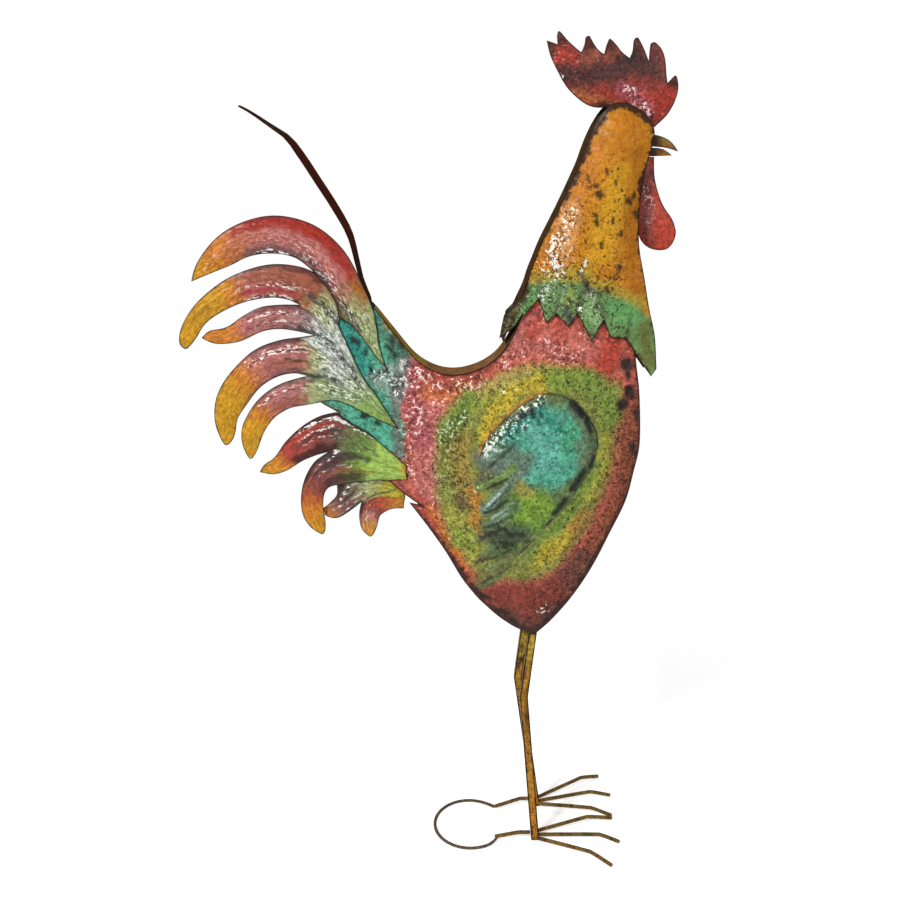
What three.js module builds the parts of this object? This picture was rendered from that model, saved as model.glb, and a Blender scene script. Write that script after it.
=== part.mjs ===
// A garden rooster made of painted sheet steel: two pressed side sheets joined by rim strips, a neck
// sleeve with a toothed collar, cut-out tail feathers, and two bar legs on rod feet with a wire loop behind.
// Millimetres. X runs towards the beak, Z up, and the sheets stand in planes across Y.
import * as THREE from "three";

// ---------------------------------------------------------------- driving dimensions

const SHEET = 1; // thickness of every pressed or cut sheet
const GAP = 0.3; // left between pieces that touch

const BODY_HALF = 20; // half the width of the rim strip round the body
const TAIL_HALF = 12; // the same where the strip ends at the tail
const BODY_DOME = 15; // how far a side sheet bulges past its edge
const BODY_DOME_REACH = 95; // from the edge to where the bulge is full
const NECK_HALF = 18;
const NECK_DOME = 14;
const NECK_DOME_REACH = 46;
const COLLAR_LIFT = 2.2; // the collar's clearance over the body sheet

const WING_RISE = 7;
const WING_STEP = 9; // width of the slope at the wing's border
const VANE_GROOVE = 3; // depth of the grooves between the wing's feathers

const FEATHER_CROWN = 4;
const FEATHER_REACH = 14; // from a feather's edge to its crown
const TOP_FEATHER_LIFT = 3.6; // the top feather laps over the fan below it

const LEG_BAR = 9; // side of the square leg bar
const TOE_ROD = 4.8; // diameter
const LOOP_WIRE = 3.2; // diameter
const HIP_SPREAD = 9; // a leg's distance from the middle plane at the hip,
const KNEE_SPREAD = 24; // at the knee
const ANKLE_SPREAD = 38; // and at the ankle

const PANEL_STEP = 18; // spacing of the points on the body sheets
const NECK_STEP = 14;
const FEATHER_STEP = 12;
const HEAD_STEP = 9;
const FINE_STEP = 1.5; // spacing at which a curve's turning is measured
const MOST_TURN = 0.45; // the turn, in radians, after which a curve gets another point

// ---------------------------------------------------------------- colours

const PAINT = {
  red: { color: 0xb5483c, roughness: 0.42, metalness: 0.25 },
  ochre: { color: 0xc98a2b, roughness: 0.42, metalness: 0.25 },
  rim: { color: 0x6b4a26, roughness: 0.5, metalness: 0.35 },
  rose: { color: 0xa94a45, roughness: 0.38, metalness: 0.3 },
  lime: { color: 0x86a552, roughness: 0.38, metalness: 0.3 },
  tan: { color: 0xb0803a, roughness: 0.5, metalness: 0.2 },
  sickle: { color: 0x5a2c1a, roughness: 0.45, metalness: 0.3 },
  leg: { color: 0xa9772a, roughness: 0.5, metalness: 0.35 },
  toe: { color: 0x7a5c30, roughness: 0.5, metalness: 0.4 },
  wire: { color: 0x6b6152, roughness: 0.5, metalness: 0.5 },
};

// ---------------------------------------------------------------- flat geometry, in [x, z]

const clamp01 = (value) => Math.min(Math.max(value, 0), 1);
// Eases from 0 at one place to 1 at another, whichever way round they lie.
function ease(from, to, value) {
  const share = clamp01((value - from) / (to - from));
  return share * share * (3 - 2 * share);
}

// Points along a smooth curve through the given ones, a step apart and closer where it turns sharply.
function curveThrough(points, step) {
  const places = points.map(([x, z]) => new THREE.Vector3(x, 0, z));
  const curve = new THREE.CatmullRomCurve3(places, false, "centripetal");
  const fine = curve.getSpacedPoints(Math.max(2, Math.round(curve.getLength() / FINE_STEP)));
  const count = Math.max(1, Math.round(curve.getLength() / step));
  const stride = curve.getLength() / count - FINE_STEP / 2;
  const kept = [fine[0]];
  let run = 0;
  let turn = 0;
  for (let i = 1; i < fine.length - 1; i++) {
    const ahead = fine[i + 1].clone().sub(fine[i]);
    run += fine[i].distanceTo(fine[i - 1]);
    turn += ahead.angleTo(fine[i].clone().sub(fine[i - 1]));
    if (run < stride && (turn < MOST_TURN || run < stride / 4)) continue;
    kept.push(fine[i]);
    run = 0;
    turn = 0;
  }
  if (kept.length > 1 && kept.at(-1).distanceTo(fine.at(-1)) < stride / 4) kept.pop();
  return [...kept, fine.at(-1)].map((place) => [place.x, place.z]);
}

// A closed outline from strokes. Each stroke curves through its own points to the start of the next one,
// so the outline has a corner only where a stroke begins.
function outlineFrom(strokes, step) {
  return strokes.flatMap((stroke, index) => {
    const next = strokes[(index + 1) % strokes.length][0];
    return curveThrough([...stroke, next], step).slice(0, -1);
  });
}

function signedArea(outline) {
  return THREE.ShapeUtils.area(outline.map(([x, z]) => ({ x, y: z })));
}

function segmentDistance([x, z], [ax, az], [bx, bz]) {
  const along = clamp01(((x - ax) * (bx - ax) + (z - az) * (bz - az)) / ((bx - ax) ** 2 + (bz - az) ** 2));
  return Math.hypot(x - ax - along * (bx - ax), z - az - along * (bz - az));
}

function pathDistance(point, path, closed) {
  let least = Infinity;
  const last = closed ? path.length : path.length - 1;
  for (let i = 0; i < last; i++) {
    least = Math.min(least, segmentDistance(point, path[i], path[(i + 1) % path.length]));
  }
  return least;
}

function isInside([x, z], outline) {
  let inside = false;
  outline.forEach(([ax, az], i) => {
    const [bx, bz] = outline[(i + 1) % outline.length];
    if (az > z !== bz > z && x < ax + ((z - az) / (bz - az)) * (bx - ax)) inside = !inside;
  });
  return inside;
}

// How far inside an outline a point lies; 0 outside it.
function depthInside(point, outline) {
  return isInside(point, outline) ? pathDistance(point, outline, true) : 0;
}

// ---------------------------------------------------------------- triangles over an outline

// Delaunay triangles of scattered points, by adding one point at a time.
function delaunay(points) {
  const far = 1e5;
  const all = [...points, [-far, -far], [far, -far], [0, far]];
  const circle = (a, b, c) => {
    const [ax, az] = all[a];
    const [bx, bz] = [all[b][0] - ax, all[b][1] - az];
    const [cx, cz] = [all[c][0] - ax, all[c][1] - az];
    const twice = 2 * (bx * cz - bz * cx);
    const x = (cz * (bx * bx + bz * bz) - bz * (cx * cx + cz * cz)) / twice;
    const z = (bx * (cx * cx + cz * cz) - cx * (bx * bx + bz * bz)) / twice;
    return { corners: [a, b, c], x: ax + x, z: az + z, square: x * x + z * z };
  };
  let triangles = [circle(points.length, points.length + 1, points.length + 2)];
  points.forEach(([x, z], index) => {
    const edges = new Map();
    triangles = triangles.filter((triangle) => {
      if ((x - triangle.x) ** 2 + (z - triangle.z) ** 2 >= triangle.square) return true;
      triangle.corners.forEach((from, side) => {
        const to = triangle.corners[(side + 1) % 3];
        if (!edges.delete(`${to},${from}`)) edges.set(`${from},${to}`, [from, to]);
      });
      return false;
    });
    edges.forEach(([from, to]) => triangles.push(circle(from, to, index)));
  });
  return triangles.map((triangle) => triangle.corners).filter((corners) => Math.max(...corners) < points.length);
}

// Staggered rows of points inside an outline, kept clear of its border and of the points already chosen.
function fillPoints(outline, chosen, step) {
  const xs = outline.map(([x]) => x);
  const zs = outline.map(([, z]) => z);
  const clear = 0.6 * step;
  const filled = [];
  let row = 0;
  for (let z = Math.min(...zs); z < Math.max(...zs); z += 0.866 * step) {
    row += 1;
    for (let x = Math.min(...xs) + (row % 2 ? 0 : step / 2); x < Math.max(...xs); x += step) {
      const point = [x + 0.4 * Math.sin(x + 3 * row), z + 0.4 * Math.cos(2 * x + row)];
      if (!isInside(point, outline) || pathDistance(point, outline, true) < clear) continue;
      if (chosen.some(([cx, cz]) => Math.hypot(cx - point[0], cz - point[1]) < clear)) continue;
      filled.push(point);
    }
  }
  return filled;
}

// The outline, counter-clockwise, with every side of it present as a triangle side.
function triangulate(outline, chosen, step) {
  let border = signedArea(outline) > 0 ? outline : [...outline].reverse();
  const inner = [...chosen, ...fillPoints(border, chosen, step)];
  for (let round = 0; round < 8; round++) {
    const points = [...border, ...inner];
    const triangles = delaunay(points).filter((corners) => {
      const middle = [0, 1].map((axis) => corners.reduce((sum, corner) => sum + points[corner][axis], 0) / 3);
      return isInside(middle, border);
    });
    const sides = new Set(triangles.flatMap(([a, b, c]) => [`${a},${b}`, `${b},${c}`, `${c},${a}`]));
    const split = border.flatMap((point, i) => {
      const next = (i + 1) % border.length;
      if (sides.has(`${i},${next}`)) return [point];
      return [point, [(point[0] + border[next][0]) / 2, (point[1] + border[next][1]) / 2]];
    });
    if (split.length === border.length) return { points, triangles, rim: border.length };
    border = split;
  }
  throw new Error("an outline touches itself");
}

// ---------------------------------------------------------------- solids

const NEAR = -1; // the side that faces -Y
const FAR = 1;

function solid(name, paint, positions, indices) {
  const geometry = new THREE.BufferGeometry();
  geometry.setAttribute("position", new THREE.Float32BufferAttribute(positions, 3));
  geometry.setIndex(indices);
  geometry.computeVertexNormals();
  return named(name, paint, geometry);
}

function named(name, paint, geometry) {
  const mesh = new THREE.Mesh(geometry, new THREE.MeshStandardMaterial(paint));
  mesh.name = name;
  return mesh;
}

// A pressed sheet. hollow(point, depth) is the distance of its inner face from the middle plane, where
// depth is how far inside the outline the point lies.
function sheet(name, paint, { outline, hollow, side = NEAR, step, chosen = [], thickness = () => SHEET }) {
  const { points, triangles, rim } = triangulate(outline, chosen, step);
  const inner = points.map((point, i) => hollow(point, i < rim ? 0 : pathDistance(point, outline, true)));
  const positions = [
    ...points.flatMap(([x, z], i) => [x, side * (inner[i] + thickness([x, z])), z]),
    ...points.flatMap(([x, z], i) => [x, side * inner[i], z]),
  ];
  const count = points.length;
  const faces = triangles.flatMap(([a, b, c]) => [[a, b, c], [count + a, count + c, count + b]]);
  for (let i = 0; i < rim; i++) {
    const next = (i + 1) % rim;
    faces.push([i, count + i, count + next], [i, count + next, next]);
  }
  return solid(name, paint, positions, faces.flatMap(([a, b, c]) => (side === NEAR ? [a, b, c] : [a, c, b])));
}

// A strip of sheet on edge: it follows a path of [x, z] points, with the sheet's thickness to the left of
// the way the path runs, and half(point) is half its width across Y. lean turns it about its path.
function strip(name, paint, path, half, lean = 0) {
  const positions = path.flatMap((point, i) => {
    const before = path[Math.max(i - 1, 0)];
    const after = path[Math.min(i + 1, path.length - 1)];
    const length = Math.hypot(after[0] - before[0], after[1] - before[1]);
    const left = [-(after[1] - before[1]) / length, (after[0] - before[0]) / length];
    const width = half(point);
    const corner = (side, up) => {
      const out = side * lean * width + up * SHEET;
      return [point[0] + out * left[0], side * width, point[1] + out * left[1]];
    };
    return [...corner(NEAR, 0), ...corner(FAR, 0), ...corner(FAR, 1), ...corner(NEAR, 1)];
  });
  const indices = [0, 2, 1, 0, 3, 2];
  for (let i = 0; i < path.length - 1; i++) {
    for (let corner = 0; corner < 4; corner++) {
      const a = 4 * i + corner;
      const b = 4 * i + ((corner + 1) % 4);
      indices.push(a, b + 4, a + 4, a, b, b + 4);
    }
  }
  const end = 4 * (path.length - 1);
  indices.push(end, end + 1, end + 2, end, end + 2, end + 3);
  return solid(name, paint, positions, indices);
}

// A bar or rod bent along [x, y, z] places, with a regular polygon as its section. Its ends are cut square,
// or level with the ground where level is set.
function bentBar(name, paint, places, { radius, sides, phase = 0, level = false }) {
  const points = places.map((place) => new THREE.Vector3(...place));
  const last = points.length - 1;
  const positions = points.flatMap((point, i) => {
    const inward = point.clone().sub(points[Math.max(i - 1, 0)]).normalize();
    const outward = points[Math.min(i + 1, last)].clone().sub(point).normalize();
    const tangent = inward.add(outward).normalize();
    const side = new THREE.Vector3(0, 1, 0).addScaledVector(tangent, -tangent.y).normalize();
    const up = tangent.clone().cross(side);
    return Array.from({ length: sides }, (_, corner) => {
      const angle = phase + (2 * Math.PI * corner) / sides;
      const place = point.clone().addScaledVector(side, radius * Math.cos(angle));
      place.addScaledVector(up, radius * Math.sin(angle));
      if (level && (i === 0 || i === last)) place.addScaledVector(tangent, (point.z - place.z) / tangent.z);
      return place.toArray();
    }).flat();
  });
  const indices = [];
  for (let corner = 1; corner < sides - 1; corner++) {
    indices.push(0, corner + 1, corner);
    indices.push(sides * last, sides * last + corner, sides * last + corner + 1);
  }
  for (let i = 0; i < last; i++) {
    for (let corner = 0; corner < sides; corner++) {
      const a = sides * i + corner;
      const b = sides * i + ((corner + 1) % sides);
      indices.push(a, b, b + sides, a, b + sides, a + sides);
    }
  }
  return solid(name, paint, positions, indices);
}

// ---------------------------------------------------------------- the body

// Rises from 0 at an edge to 1 at the given reach, steepest at the edge.
const swell = (depth, reach) => 1 - (1 - clamp01(depth / reach)) ** 2;

const saddleCurve = [
  [-87, 684], [-70, 663], [-54, 642], [-40, 626], [-19, 612], [5, 607], [32, 613], [54, 627], [70, 650], [79, 672],
];
const breastCurve = [
  [212, 660], [214, 627], [220, 586], [223, 519], [218, 491], [210, 454], [193, 414], [171, 366], [145, 324],
  [117, 291], [104, 280], [86, 286], [60, 303],
];
const bellyCurve = [[34, 328], [15, 353], [-5, 388], [-28, 422]];
const barbTip = [-49, 450];

const bodyOutline = outlineFrom(
  [
    saddleCurve,
    [[88, 708]],
    [[208, 690]],
    breastCurve,
    bellyCurve,
    [barbTip],
    [[-36, 447.5], [-54, 460], [-72, 476], [-100, 502], [-122, 536]],
    [[-133, 562], [-142, 568], [-152, 574]],
    [[-154, 600], [-152, 650], [-148, 688]],
    [[-130, 704], [-105, 698]],
  ],
  PANEL_STEP,
);

// Half the width of the body's rim strips, which narrow towards the tail.
const bodyHalf = ([x]) => THREE.MathUtils.lerp(TAIL_HALF, BODY_HALF, ease(-84, 10, x));

const wingTips = [[29, 472], [35, 444], [35, 414], [31, 379]];
const wingNotches = [[53, 480], [51, 441], [53, 417], [56, 391]];
const wingOutline = outlineFrom(
  [
    [
      [33, 342], [50, 349], [77, 376], [100, 405], [129, 439], [152, 477], [167, 509], [170, 537], [158, 559],
      [140, 579], [113, 587], [85, 575], [61, 554], [39, 525], [30, 494],
    ],
    ...wingTips.flatMap((tip, i) => [[tip], [wingNotches[i]]]),
  ],
  10,
);
// Each groove between two of the wing's feathers runs from a notch up towards the shoulder.
const wingGrooves = wingNotches.map(([x, z], i) =>
  curveThrough([[x, z], [x + 22, z + 13], [x + 44, z + 32 - 2 * i]], 9),
);

function wingRelief(point) {
  const rise = WING_RISE * ease(0, WING_STEP, depthInside(point, wingOutline));
  if (rise === 0) return 0;
  const groove = Math.min(...wingGrooves.map((path) => pathDistance(point, path, false)));
  return rise - VANE_GROOVE * (1 - ease(0, 8, groove)) * (rise / WING_RISE);
}

// Distance of the body sheet's inner face from the middle plane, also used just outside its outline.
function bodyHollow(point, depth) {
  const dome = BODY_DOME * ease(-150, -20, point[0]) * swell(depth, BODY_DOME_REACH);
  return bodyHalf(point) + GAP + dome + wingRelief(point);
}

function bodyPoints() {
  const centre = [100, 480];
  const inset = wingOutline.map(([x, z]) => {
    const length = Math.hypot(centre[0] - x, centre[1] - z);
    return [x + (WING_STEP * (centre[0] - x)) / length, z + (WING_STEP * (centre[1] - z)) / length];
  });
  const kept = [...wingOutline];
  [...wingGrooves.flat(), ...inset].forEach((point) => {
    if (kept.every(([x, z]) => Math.hypot(x - point[0], z - point[1]) > 5)) kept.push(point);
  });
  return kept;
}

function bodyPanel(name, side) {
  const chosen = bodyPoints();
  return sheet(name, PAINT.red, { outline: bodyOutline, hollow: bodyHollow, side, step: PANEL_STEP, chosen });
}

const bodyPieces = [
  bodyPanel("body_panel_near", NEAR),
  bodyPanel("body_panel_far", FAR),
  strip("saddle_rim", PAINT.rim, curveThrough([...saddleCurve, [88, 704]], 14).reverse(), bodyHalf),
  strip("breast_rim", PAINT.rim, curveThrough([...breastCurve, ...bellyCurve], 16).reverse(), bodyHalf),
];

// ---------------------------------------------------------------- the neck and head

const napeCurve = [
  [170, 898], [160, 886], [151, 868], [143, 845], [125, 804], [115, 783], [102, 756], [90, 724], [81, 698],
];
const throatCurve = [[238, 614], [234, 653], [226, 685], [218, 725], [212, 758], [211, 797]];
// The head's sides stand a little higher than the rim, and take the comb's lower edge between them.
const crownCurve = [[184, 908], [173, 905], [161, 889]];
const browCurve = [[214, 829], [220, 855], [224, 872], [222, 884], [214, 895], [200, 905]];
// The collar ends in a flap behind the nape, then comes a tooth, and a notch between each two teeth.
const collarPoints = [
  [69, 688], [61, 680], [58.5, 668], [56, 653], [67, 667], [75, 681], [80, 672], [100, 696], [108, 669], [120, 679], [134, 664], [144, 680], [160, 648], [174, 671], [182, 652],
  [201, 650], [216, 627], [232, 605],
];

const neckOutline = outlineFrom(
  [
    [...crownCurve, ...napeCurve.slice(2)],
    ...collarPoints.map((point) => [point]),
    [...throatCurve, ...browCurve],
  ],
  NECK_STEP,
);

// The neck sheet swells on its own, and over the body sheet it keeps clear of it.
function neckHollow(point, depth) {
  const own = NECK_HALF + GAP + NECK_DOME * swell(depth, NECK_DOME_REACH);
  const overBody = bodyHollow(point, depthInside(point, bodyOutline)) + SHEET + COLLAR_LIFT;
  return THREE.MathUtils.lerp(own, Math.max(own, overBody), ease(745, 710, point[1]));
}

function neckPanel(name, side) {
  return sheet(name, PAINT.ochre, { outline: neckOutline, hollow: neckHollow, side, step: NECK_STEP });
}

const neckHalf = () => NECK_HALF;
const napePath = curveThrough([[188, 900.7], [182, 901], ...napeCurve, [70, 671], [60, 645]], 14);
const throatPath = curveThrough([...throatCurve, [213, 830], [217, 858], [218, 877]], 14);

const neckPieces = [
  neckPanel("neck_panel_near", NEAR),
  neckPanel("neck_panel_far", FAR),
  strip("neck_back_rim", PAINT.rim, napePath, neckHalf),
  strip("neck_front_rim", PAINT.rim, throatPath, neckHalf),
];

// ---------------------------------------------------------------- comb, beak and wattle

// Each of the comb's spikes is a stroke from the notch before it, and the last one ends below the beak's brow.
const combOutline = outlineFrom(
  [
    [[117, 969], [116, 976], [118, 982.5], [126, 975], [136, 966]],
    [[143, 961], [146, 968], [147.5, 976], [151, 978], [157, 969], [163, 962]],
    [[168, 959], [170, 967], [173, 974.5], [178, 972], [184, 965], [191, 958]],
    [[196, 955], [199, 963], [200, 973], [203.5, 976.5], [210, 967], [214, 959]],
    [[217, 952], [217.5, 961], [218.5, 970], [223, 971], [230, 965], [235, 954], [237, 940]],
    [[239, 929], [243, 933], [247.5, 937], [251, 927], [250, 916], [246, 905], [239, 894]],
    [[227.5, 883], [222, 879]],
    [[216, 880], [208, 888], [199, 898], [190, 903.5], [175, 903.5], [162, 903], [151, 906], [139, 914], [127, 926],
      [116, 944], [109, 958]],
    [[105, 973], [111, 970]],
  ],
  HEAD_STEP,
);

const wattleOutline = outlineFrom(
  [
    [[228, 850.4], [230, 827], [240, 799], [253, 780], [257, 765], [251, 751], [241, 747], [225, 751], [216, 761],
      [213.5, 775], [213, 797], [215.5, 820]],
    [[219, 850.2]],
  ],
  HEAD_STEP,
);

const beakUpper = outlineFrom([[[219.5, 875.5], [229, 874], [241, 870], [249, 864]], [[255, 856], [242, 860]], [[219.5, 862]]], 6);
const beakLower = outlineFrom([[[219.5, 860.5], [237, 859]], [[248, 852]], [[219.5, 851]]], 6);

const BEAK_HALF = 7; // half the beak's width at its root
const beakHalf = ([x]) => THREE.MathUtils.lerp(BEAK_HALF, 0.7, clamp01((x - 219) / 34));

function beakPiece(name, outline) {
  const thickness = (point) => 2 * beakHalf(point);
  return sheet(name, PAINT.tan, { outline, hollow: (point) => -beakHalf(point), step: 6, thickness });
}

// A cut-out that stands in the middle plane, with a slight swell.
function middleSheet(name, paint, outline, bulge) {
  const hollow = (point, depth) => bulge * swell(depth, 2 * FEATHER_REACH) - SHEET / 2;
  return sheet(name, paint, { outline, hollow, step: HEAD_STEP });
}

const headPieces = [
  middleSheet("comb", PAINT.red, combOutline, 3),
  middleSheet("wattle", PAINT.red, wattleOutline, 4),
  beakPiece("beak_upper", beakUpper),
  beakPiece("beak_lower", beakLower),
];

// ---------------------------------------------------------------- the tail

const topFeather = [
  [[-292, 715], [-286, 733], [-262, 763], [-231, 781], [-193, 788], [-151, 777], [-119, 749], [-98, 708], [-87, 679],
    [-81, 641]],
  [[-74, 615], [-88, 631], [-100, 649], [-115, 666]],
  [[-128, 674], [-129, 685], [-134, 698], [-144, 713], [-155, 726], [-174, 741], [-198, 746], [-225, 743], [-247, 733],
    [-270, 724]],
];

const upperFan = [
  [[-128, 665], [-117, 640], [-100, 603], [-88, 587]],
  [[-61, 544], [-86, 554], [-107, 564], [-126, 573], [-140, 576], [-154, 573], [-170, 570], [-186, 567], [-206, 555],
    [-220, 535], [-228, 515], [-236, 505], [-244, 520], [-245, 540], [-237, 559], [-222, 579], [-201, 594],
    [-179, 602]],
  [[-166, 605], [-179, 608], [-198, 605], [-219, 593], [-236, 573], [-249, 553], [-254, 532], [-264, 522],
    [-275, 547], [-274, 573], [-266, 593], [-251, 613], [-225, 636], [-197, 647], [-170, 651]],
  [[-157, 653], [-174, 657], [-196, 660], [-216, 657], [-238, 647], [-258, 643], [-277, 645]],
  [[-285, 650], [-276, 658], [-257, 662], [-237, 675], [-217, 685], [-195, 688]],
  [[-172, 688], [-183, 693], [-200, 696], [-230, 692], [-256, 682], [-279, 667], [-294, 646], [-304, 637],
    [-310, 642], [-310, 655], [-294, 684], [-262, 712], [-234, 726], [-199, 734], [-163, 729], [-144, 717],
    [-130, 702], [-124, 682]],
];

const lowerFan = [
  [[-133, 562], [-116, 549], [-98, 539], [-75, 519]],
  [[-52, 499]],
  [[-51, 480], [-71, 478], [-108, 476], [-135, 472], [-143, 470], [-150, 462], [-152, 447], [-150, 418], [-154, 410],
    [-168, 419], [-177, 435], [-178, 460], [-172, 483], [-160, 502]],
  [[-145, 513], [-162, 508], [-177, 501], [-195, 490], [-212, 486]],
  [[-226, 489], [-222, 496], [-208, 507], [-194, 526], [-175, 544], [-153, 557]],
];

const underFan = [
  [[-153, 441], [-151, 432], [-145, 429], [-137, 428], [-125, 434]],
  [[-107, 448], [-110, 431], [-106, 412], [-96, 404], [-90, 413], [-84, 431], [-71, 439]],
  [[-56, 440]],
  [[-54, 458], [-62, 474]],
  [[-74, 484], [-98, 487], [-122, 484]],
  [[-136, 474], [-136, 459], [-145, 447]],
];

const crown = (depth) => FEATHER_CROWN * swell(depth, FEATHER_REACH);
const overBody = (point) => bodyHollow(point, depthInside(point, bodyOutline)) + SHEET + GAP;

function tailSheet(name, paint, strokes, hollow) {
  return sheet(name, paint, { outline: outlineFrom(strokes, FEATHER_STEP), hollow, step: FEATHER_STEP });
}

const UNDER_FAN_DEPTH = 6.5; // it stands between the two side sheets

// The sickle feather is a strip on edge, widest above its middle and pointed at both ends.
const sicklePath = curveThrough(
  [[-233, 905], [-220, 898], [-196, 882], [-180, 871], [-165, 851], [-149, 826], [-130, 796], [-114, 766], [-107, 738],
    [-101, 712], [-93, 692], [-91, 672]],
  12,
);
const sickleHalf = ([, z]) => 10 + 8 * ease(680, 800, z) - 13 * ease(850, 908, z);
const SICKLE_LEAN = 0.12; // how far its near edge drops for each millimetre of width

const tailPieces = [
  tailSheet("tail_top_feather", PAINT.rose, topFeather, (point, depth) =>
    overBody(point) + TOP_FEATHER_LIFT * ease(-80, -112, point[0]) + crown(depth)),
  tailSheet("tail_upper_fan", PAINT.rose, upperFan, (point, depth) => overBody(point) + crown(depth)),
  tailSheet("tail_lower_fan", PAINT.lime, lowerFan, (point, depth) => overBody(point) + crown(depth)),
  tailSheet("tail_under_fan", PAINT.rose, underFan, (point, depth) => UNDER_FAN_DEPTH + 0.75 * crown(depth)),
  strip("sickle_feather", PAINT.sickle, sicklePath, sickleHalf, SICKLE_LEAN),
];

// ---------------------------------------------------------------- legs, feet and loop

const ANKLE_Z = 5.5;
const KNUCKLE_Z = 9;
const TOE_Z = TOE_ROD / 2;
const barShape = { radius: LEG_BAR / Math.SQRT2, sides: 4, phase: Math.PI / 4, level: true };
const rodShape = { radius: TOE_ROD / 2, sides: 8, phase: Math.PI / 8 };

// side is -1 for the near leg. The ankle stands at x, and the toes spread from there.
function foot(name, side, x, knuckles, tips, heel) {
  const y = side * ANKLE_SPREAD;
  const face = LEG_BAR / 2 + GAP;
  const beside = face + TOE_ROD / 2;
  const roots = [[x + 2, y + side * beside, ANKLE_Z], [x + face, y, ANKLE_Z], [x + 2, y - side * beside, ANKLE_Z]];
  const toes = ["outer", "middle", "inner"].map((toe, i) =>
    bentBar(`${name}_${toe}_toe`, PAINT.toe, [roots[i], [...knuckles[i], KNUCKLE_Z], [...tips[i], TOE_Z]], rodShape),
  );
  const heelPlaces = [[x - face - 2, y, KNUCKLE_Z], [x - 22, y, KNUCKLE_Z], heel];
  return [...toes, bentBar(`${name}_heel_bar`, PAINT.toe, heelPlaces, rodShape)];
}

const HEEL_Z = LOOP_WIRE + TOE_ROD / 2 + GAP; // the heel bars end on top of the wire
const loopCentre = [26, -7];
const loopRadii = [46, 53];
const LOOP_OPENING = 0.72; // half the angle left open towards the feet, in radians
const loopPlaces = Array.from({ length: 37 }, (_, i) => {
  const angle = LOOP_OPENING + ((2 * Math.PI - 2 * LOOP_OPENING) * i) / 36;
  return [
    loopCentre[0] + loopRadii[0] * Math.cos(angle),
    loopCentre[1] + loopRadii[1] * Math.sin(angle),
    LOOP_WIRE / 2,
  ];
});

const NEAR_HIP = [103, -HIP_SPREAD, 279];
const NEAR_KNEE = [92, -KNEE_SPREAD, 196];
const NEAR_ANKLE_X = 109;
const FAR_HIP = [95, HIP_SPREAD, 279.2];
const FAR_KNEE = [88, KNEE_SPREAD, 198];
const FAR_ANKLE_X = 117;

const legPieces = [
  bentBar("near_leg", PAINT.leg, [NEAR_HIP, NEAR_KNEE, [NEAR_ANKLE_X, -ANKLE_SPREAD, 0]], barShape),
  bentBar("far_leg", PAINT.leg, [FAR_HIP, FAR_KNEE, [FAR_ANKLE_X, ANKLE_SPREAD, 0]], barShape),
  ...foot(
    "near", NEAR, NEAR_ANKLE_X,
    [[175, -80], [192, -44], [181, -5]],
    [[199, -99], [216, -51], [214, 1.3]],
    [57, -42, HEEL_Z],
  ),
  ...foot(
    "far", FAR, FAR_ANKLE_X,
    [[185, 88], [193, 53], [189, 15]],
    [[210, 101], [220, 54], [215, 6.7]],
    [61, 25, HEEL_Z],
  ),
  bentBar("support_loop", PAINT.wire, loopPlaces, { radius: LOOP_WIRE / 2, sides: 8, phase: Math.PI / 8 }),
];

// ---------------------------------------------------------------- the rooster, centred over its footprint

const rooster = new THREE.Group();
rooster.add(...bodyPieces, ...neckPieces, ...headPieces, ...tailPieces, ...legPieces);
const box = new THREE.Box3().setFromObject(rooster, true);
const middle = box.getCenter(new THREE.Vector3());
rooster.position.set(-middle.x, -middle.y, -box.min.z);

export default rooster;
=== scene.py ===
# %% [markdown]
# # A painted sheet-metal rooster
#
# The imported model gives thin faceted sheets, strips, bars and rods at their real size. This lesson turns
# each one into finished metalwork: the sheets are smoothed, hammered and grooved, the bars lose their
# facets, and every piece gets hand-brushed paint with dark patina, painted highlights on the ridges and
# painted shade in the dents and along the edges.
# Lengths are metres. +X runs towards the beak, +Z is up, and -Y is the side that the camera sees.

# %% The imported frame
import math

import bpy
import numpy as np
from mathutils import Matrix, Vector, noise


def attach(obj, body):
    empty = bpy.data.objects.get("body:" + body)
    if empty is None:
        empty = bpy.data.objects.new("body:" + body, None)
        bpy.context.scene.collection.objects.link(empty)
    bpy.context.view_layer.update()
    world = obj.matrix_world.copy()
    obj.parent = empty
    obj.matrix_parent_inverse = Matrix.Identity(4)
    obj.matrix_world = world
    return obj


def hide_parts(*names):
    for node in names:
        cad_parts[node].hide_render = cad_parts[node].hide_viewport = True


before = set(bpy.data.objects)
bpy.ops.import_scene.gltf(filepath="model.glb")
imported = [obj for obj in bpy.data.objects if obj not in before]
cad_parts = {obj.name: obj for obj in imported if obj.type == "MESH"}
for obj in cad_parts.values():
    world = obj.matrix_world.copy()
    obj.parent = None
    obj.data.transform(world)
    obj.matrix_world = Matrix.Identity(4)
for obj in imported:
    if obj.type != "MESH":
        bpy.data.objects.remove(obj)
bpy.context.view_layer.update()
MM = 0.001

# %% [markdown]
# The drawing that the part was made from has its own origin, on the ground below the middle of the back.
# `place` turns a drawing point in millimetres into the frame, so curves below can be given as drawn.

# %% Drawing to frame
PART_CENTRE = (-26.943, 1.109)   # the middle of the footprint, in the drawing


def place(x, y, z):
    return Vector(((x - PART_CENTRE[0]) * MM, (y - PART_CENTRE[1]) * MM, z * MM))


def drawn(coords):
    """The drawing's X and Z of each point, in millimetres."""
    return np.column_stack([coords[:, 0] / MM + PART_CENTRE[0], coords[:, 2] / MM])


# %% [markdown]
# ## Camera, floor and light
# The camera stands 1.3 m in front, a little above the head, and looks 16 degrees down. The floor could be
# a large plane with a horizon, but a disc of pale paper that fades away at its rim leaves plain white all
# round the rooster, and the soft shadow near its feet still says that it stands on something.

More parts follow.
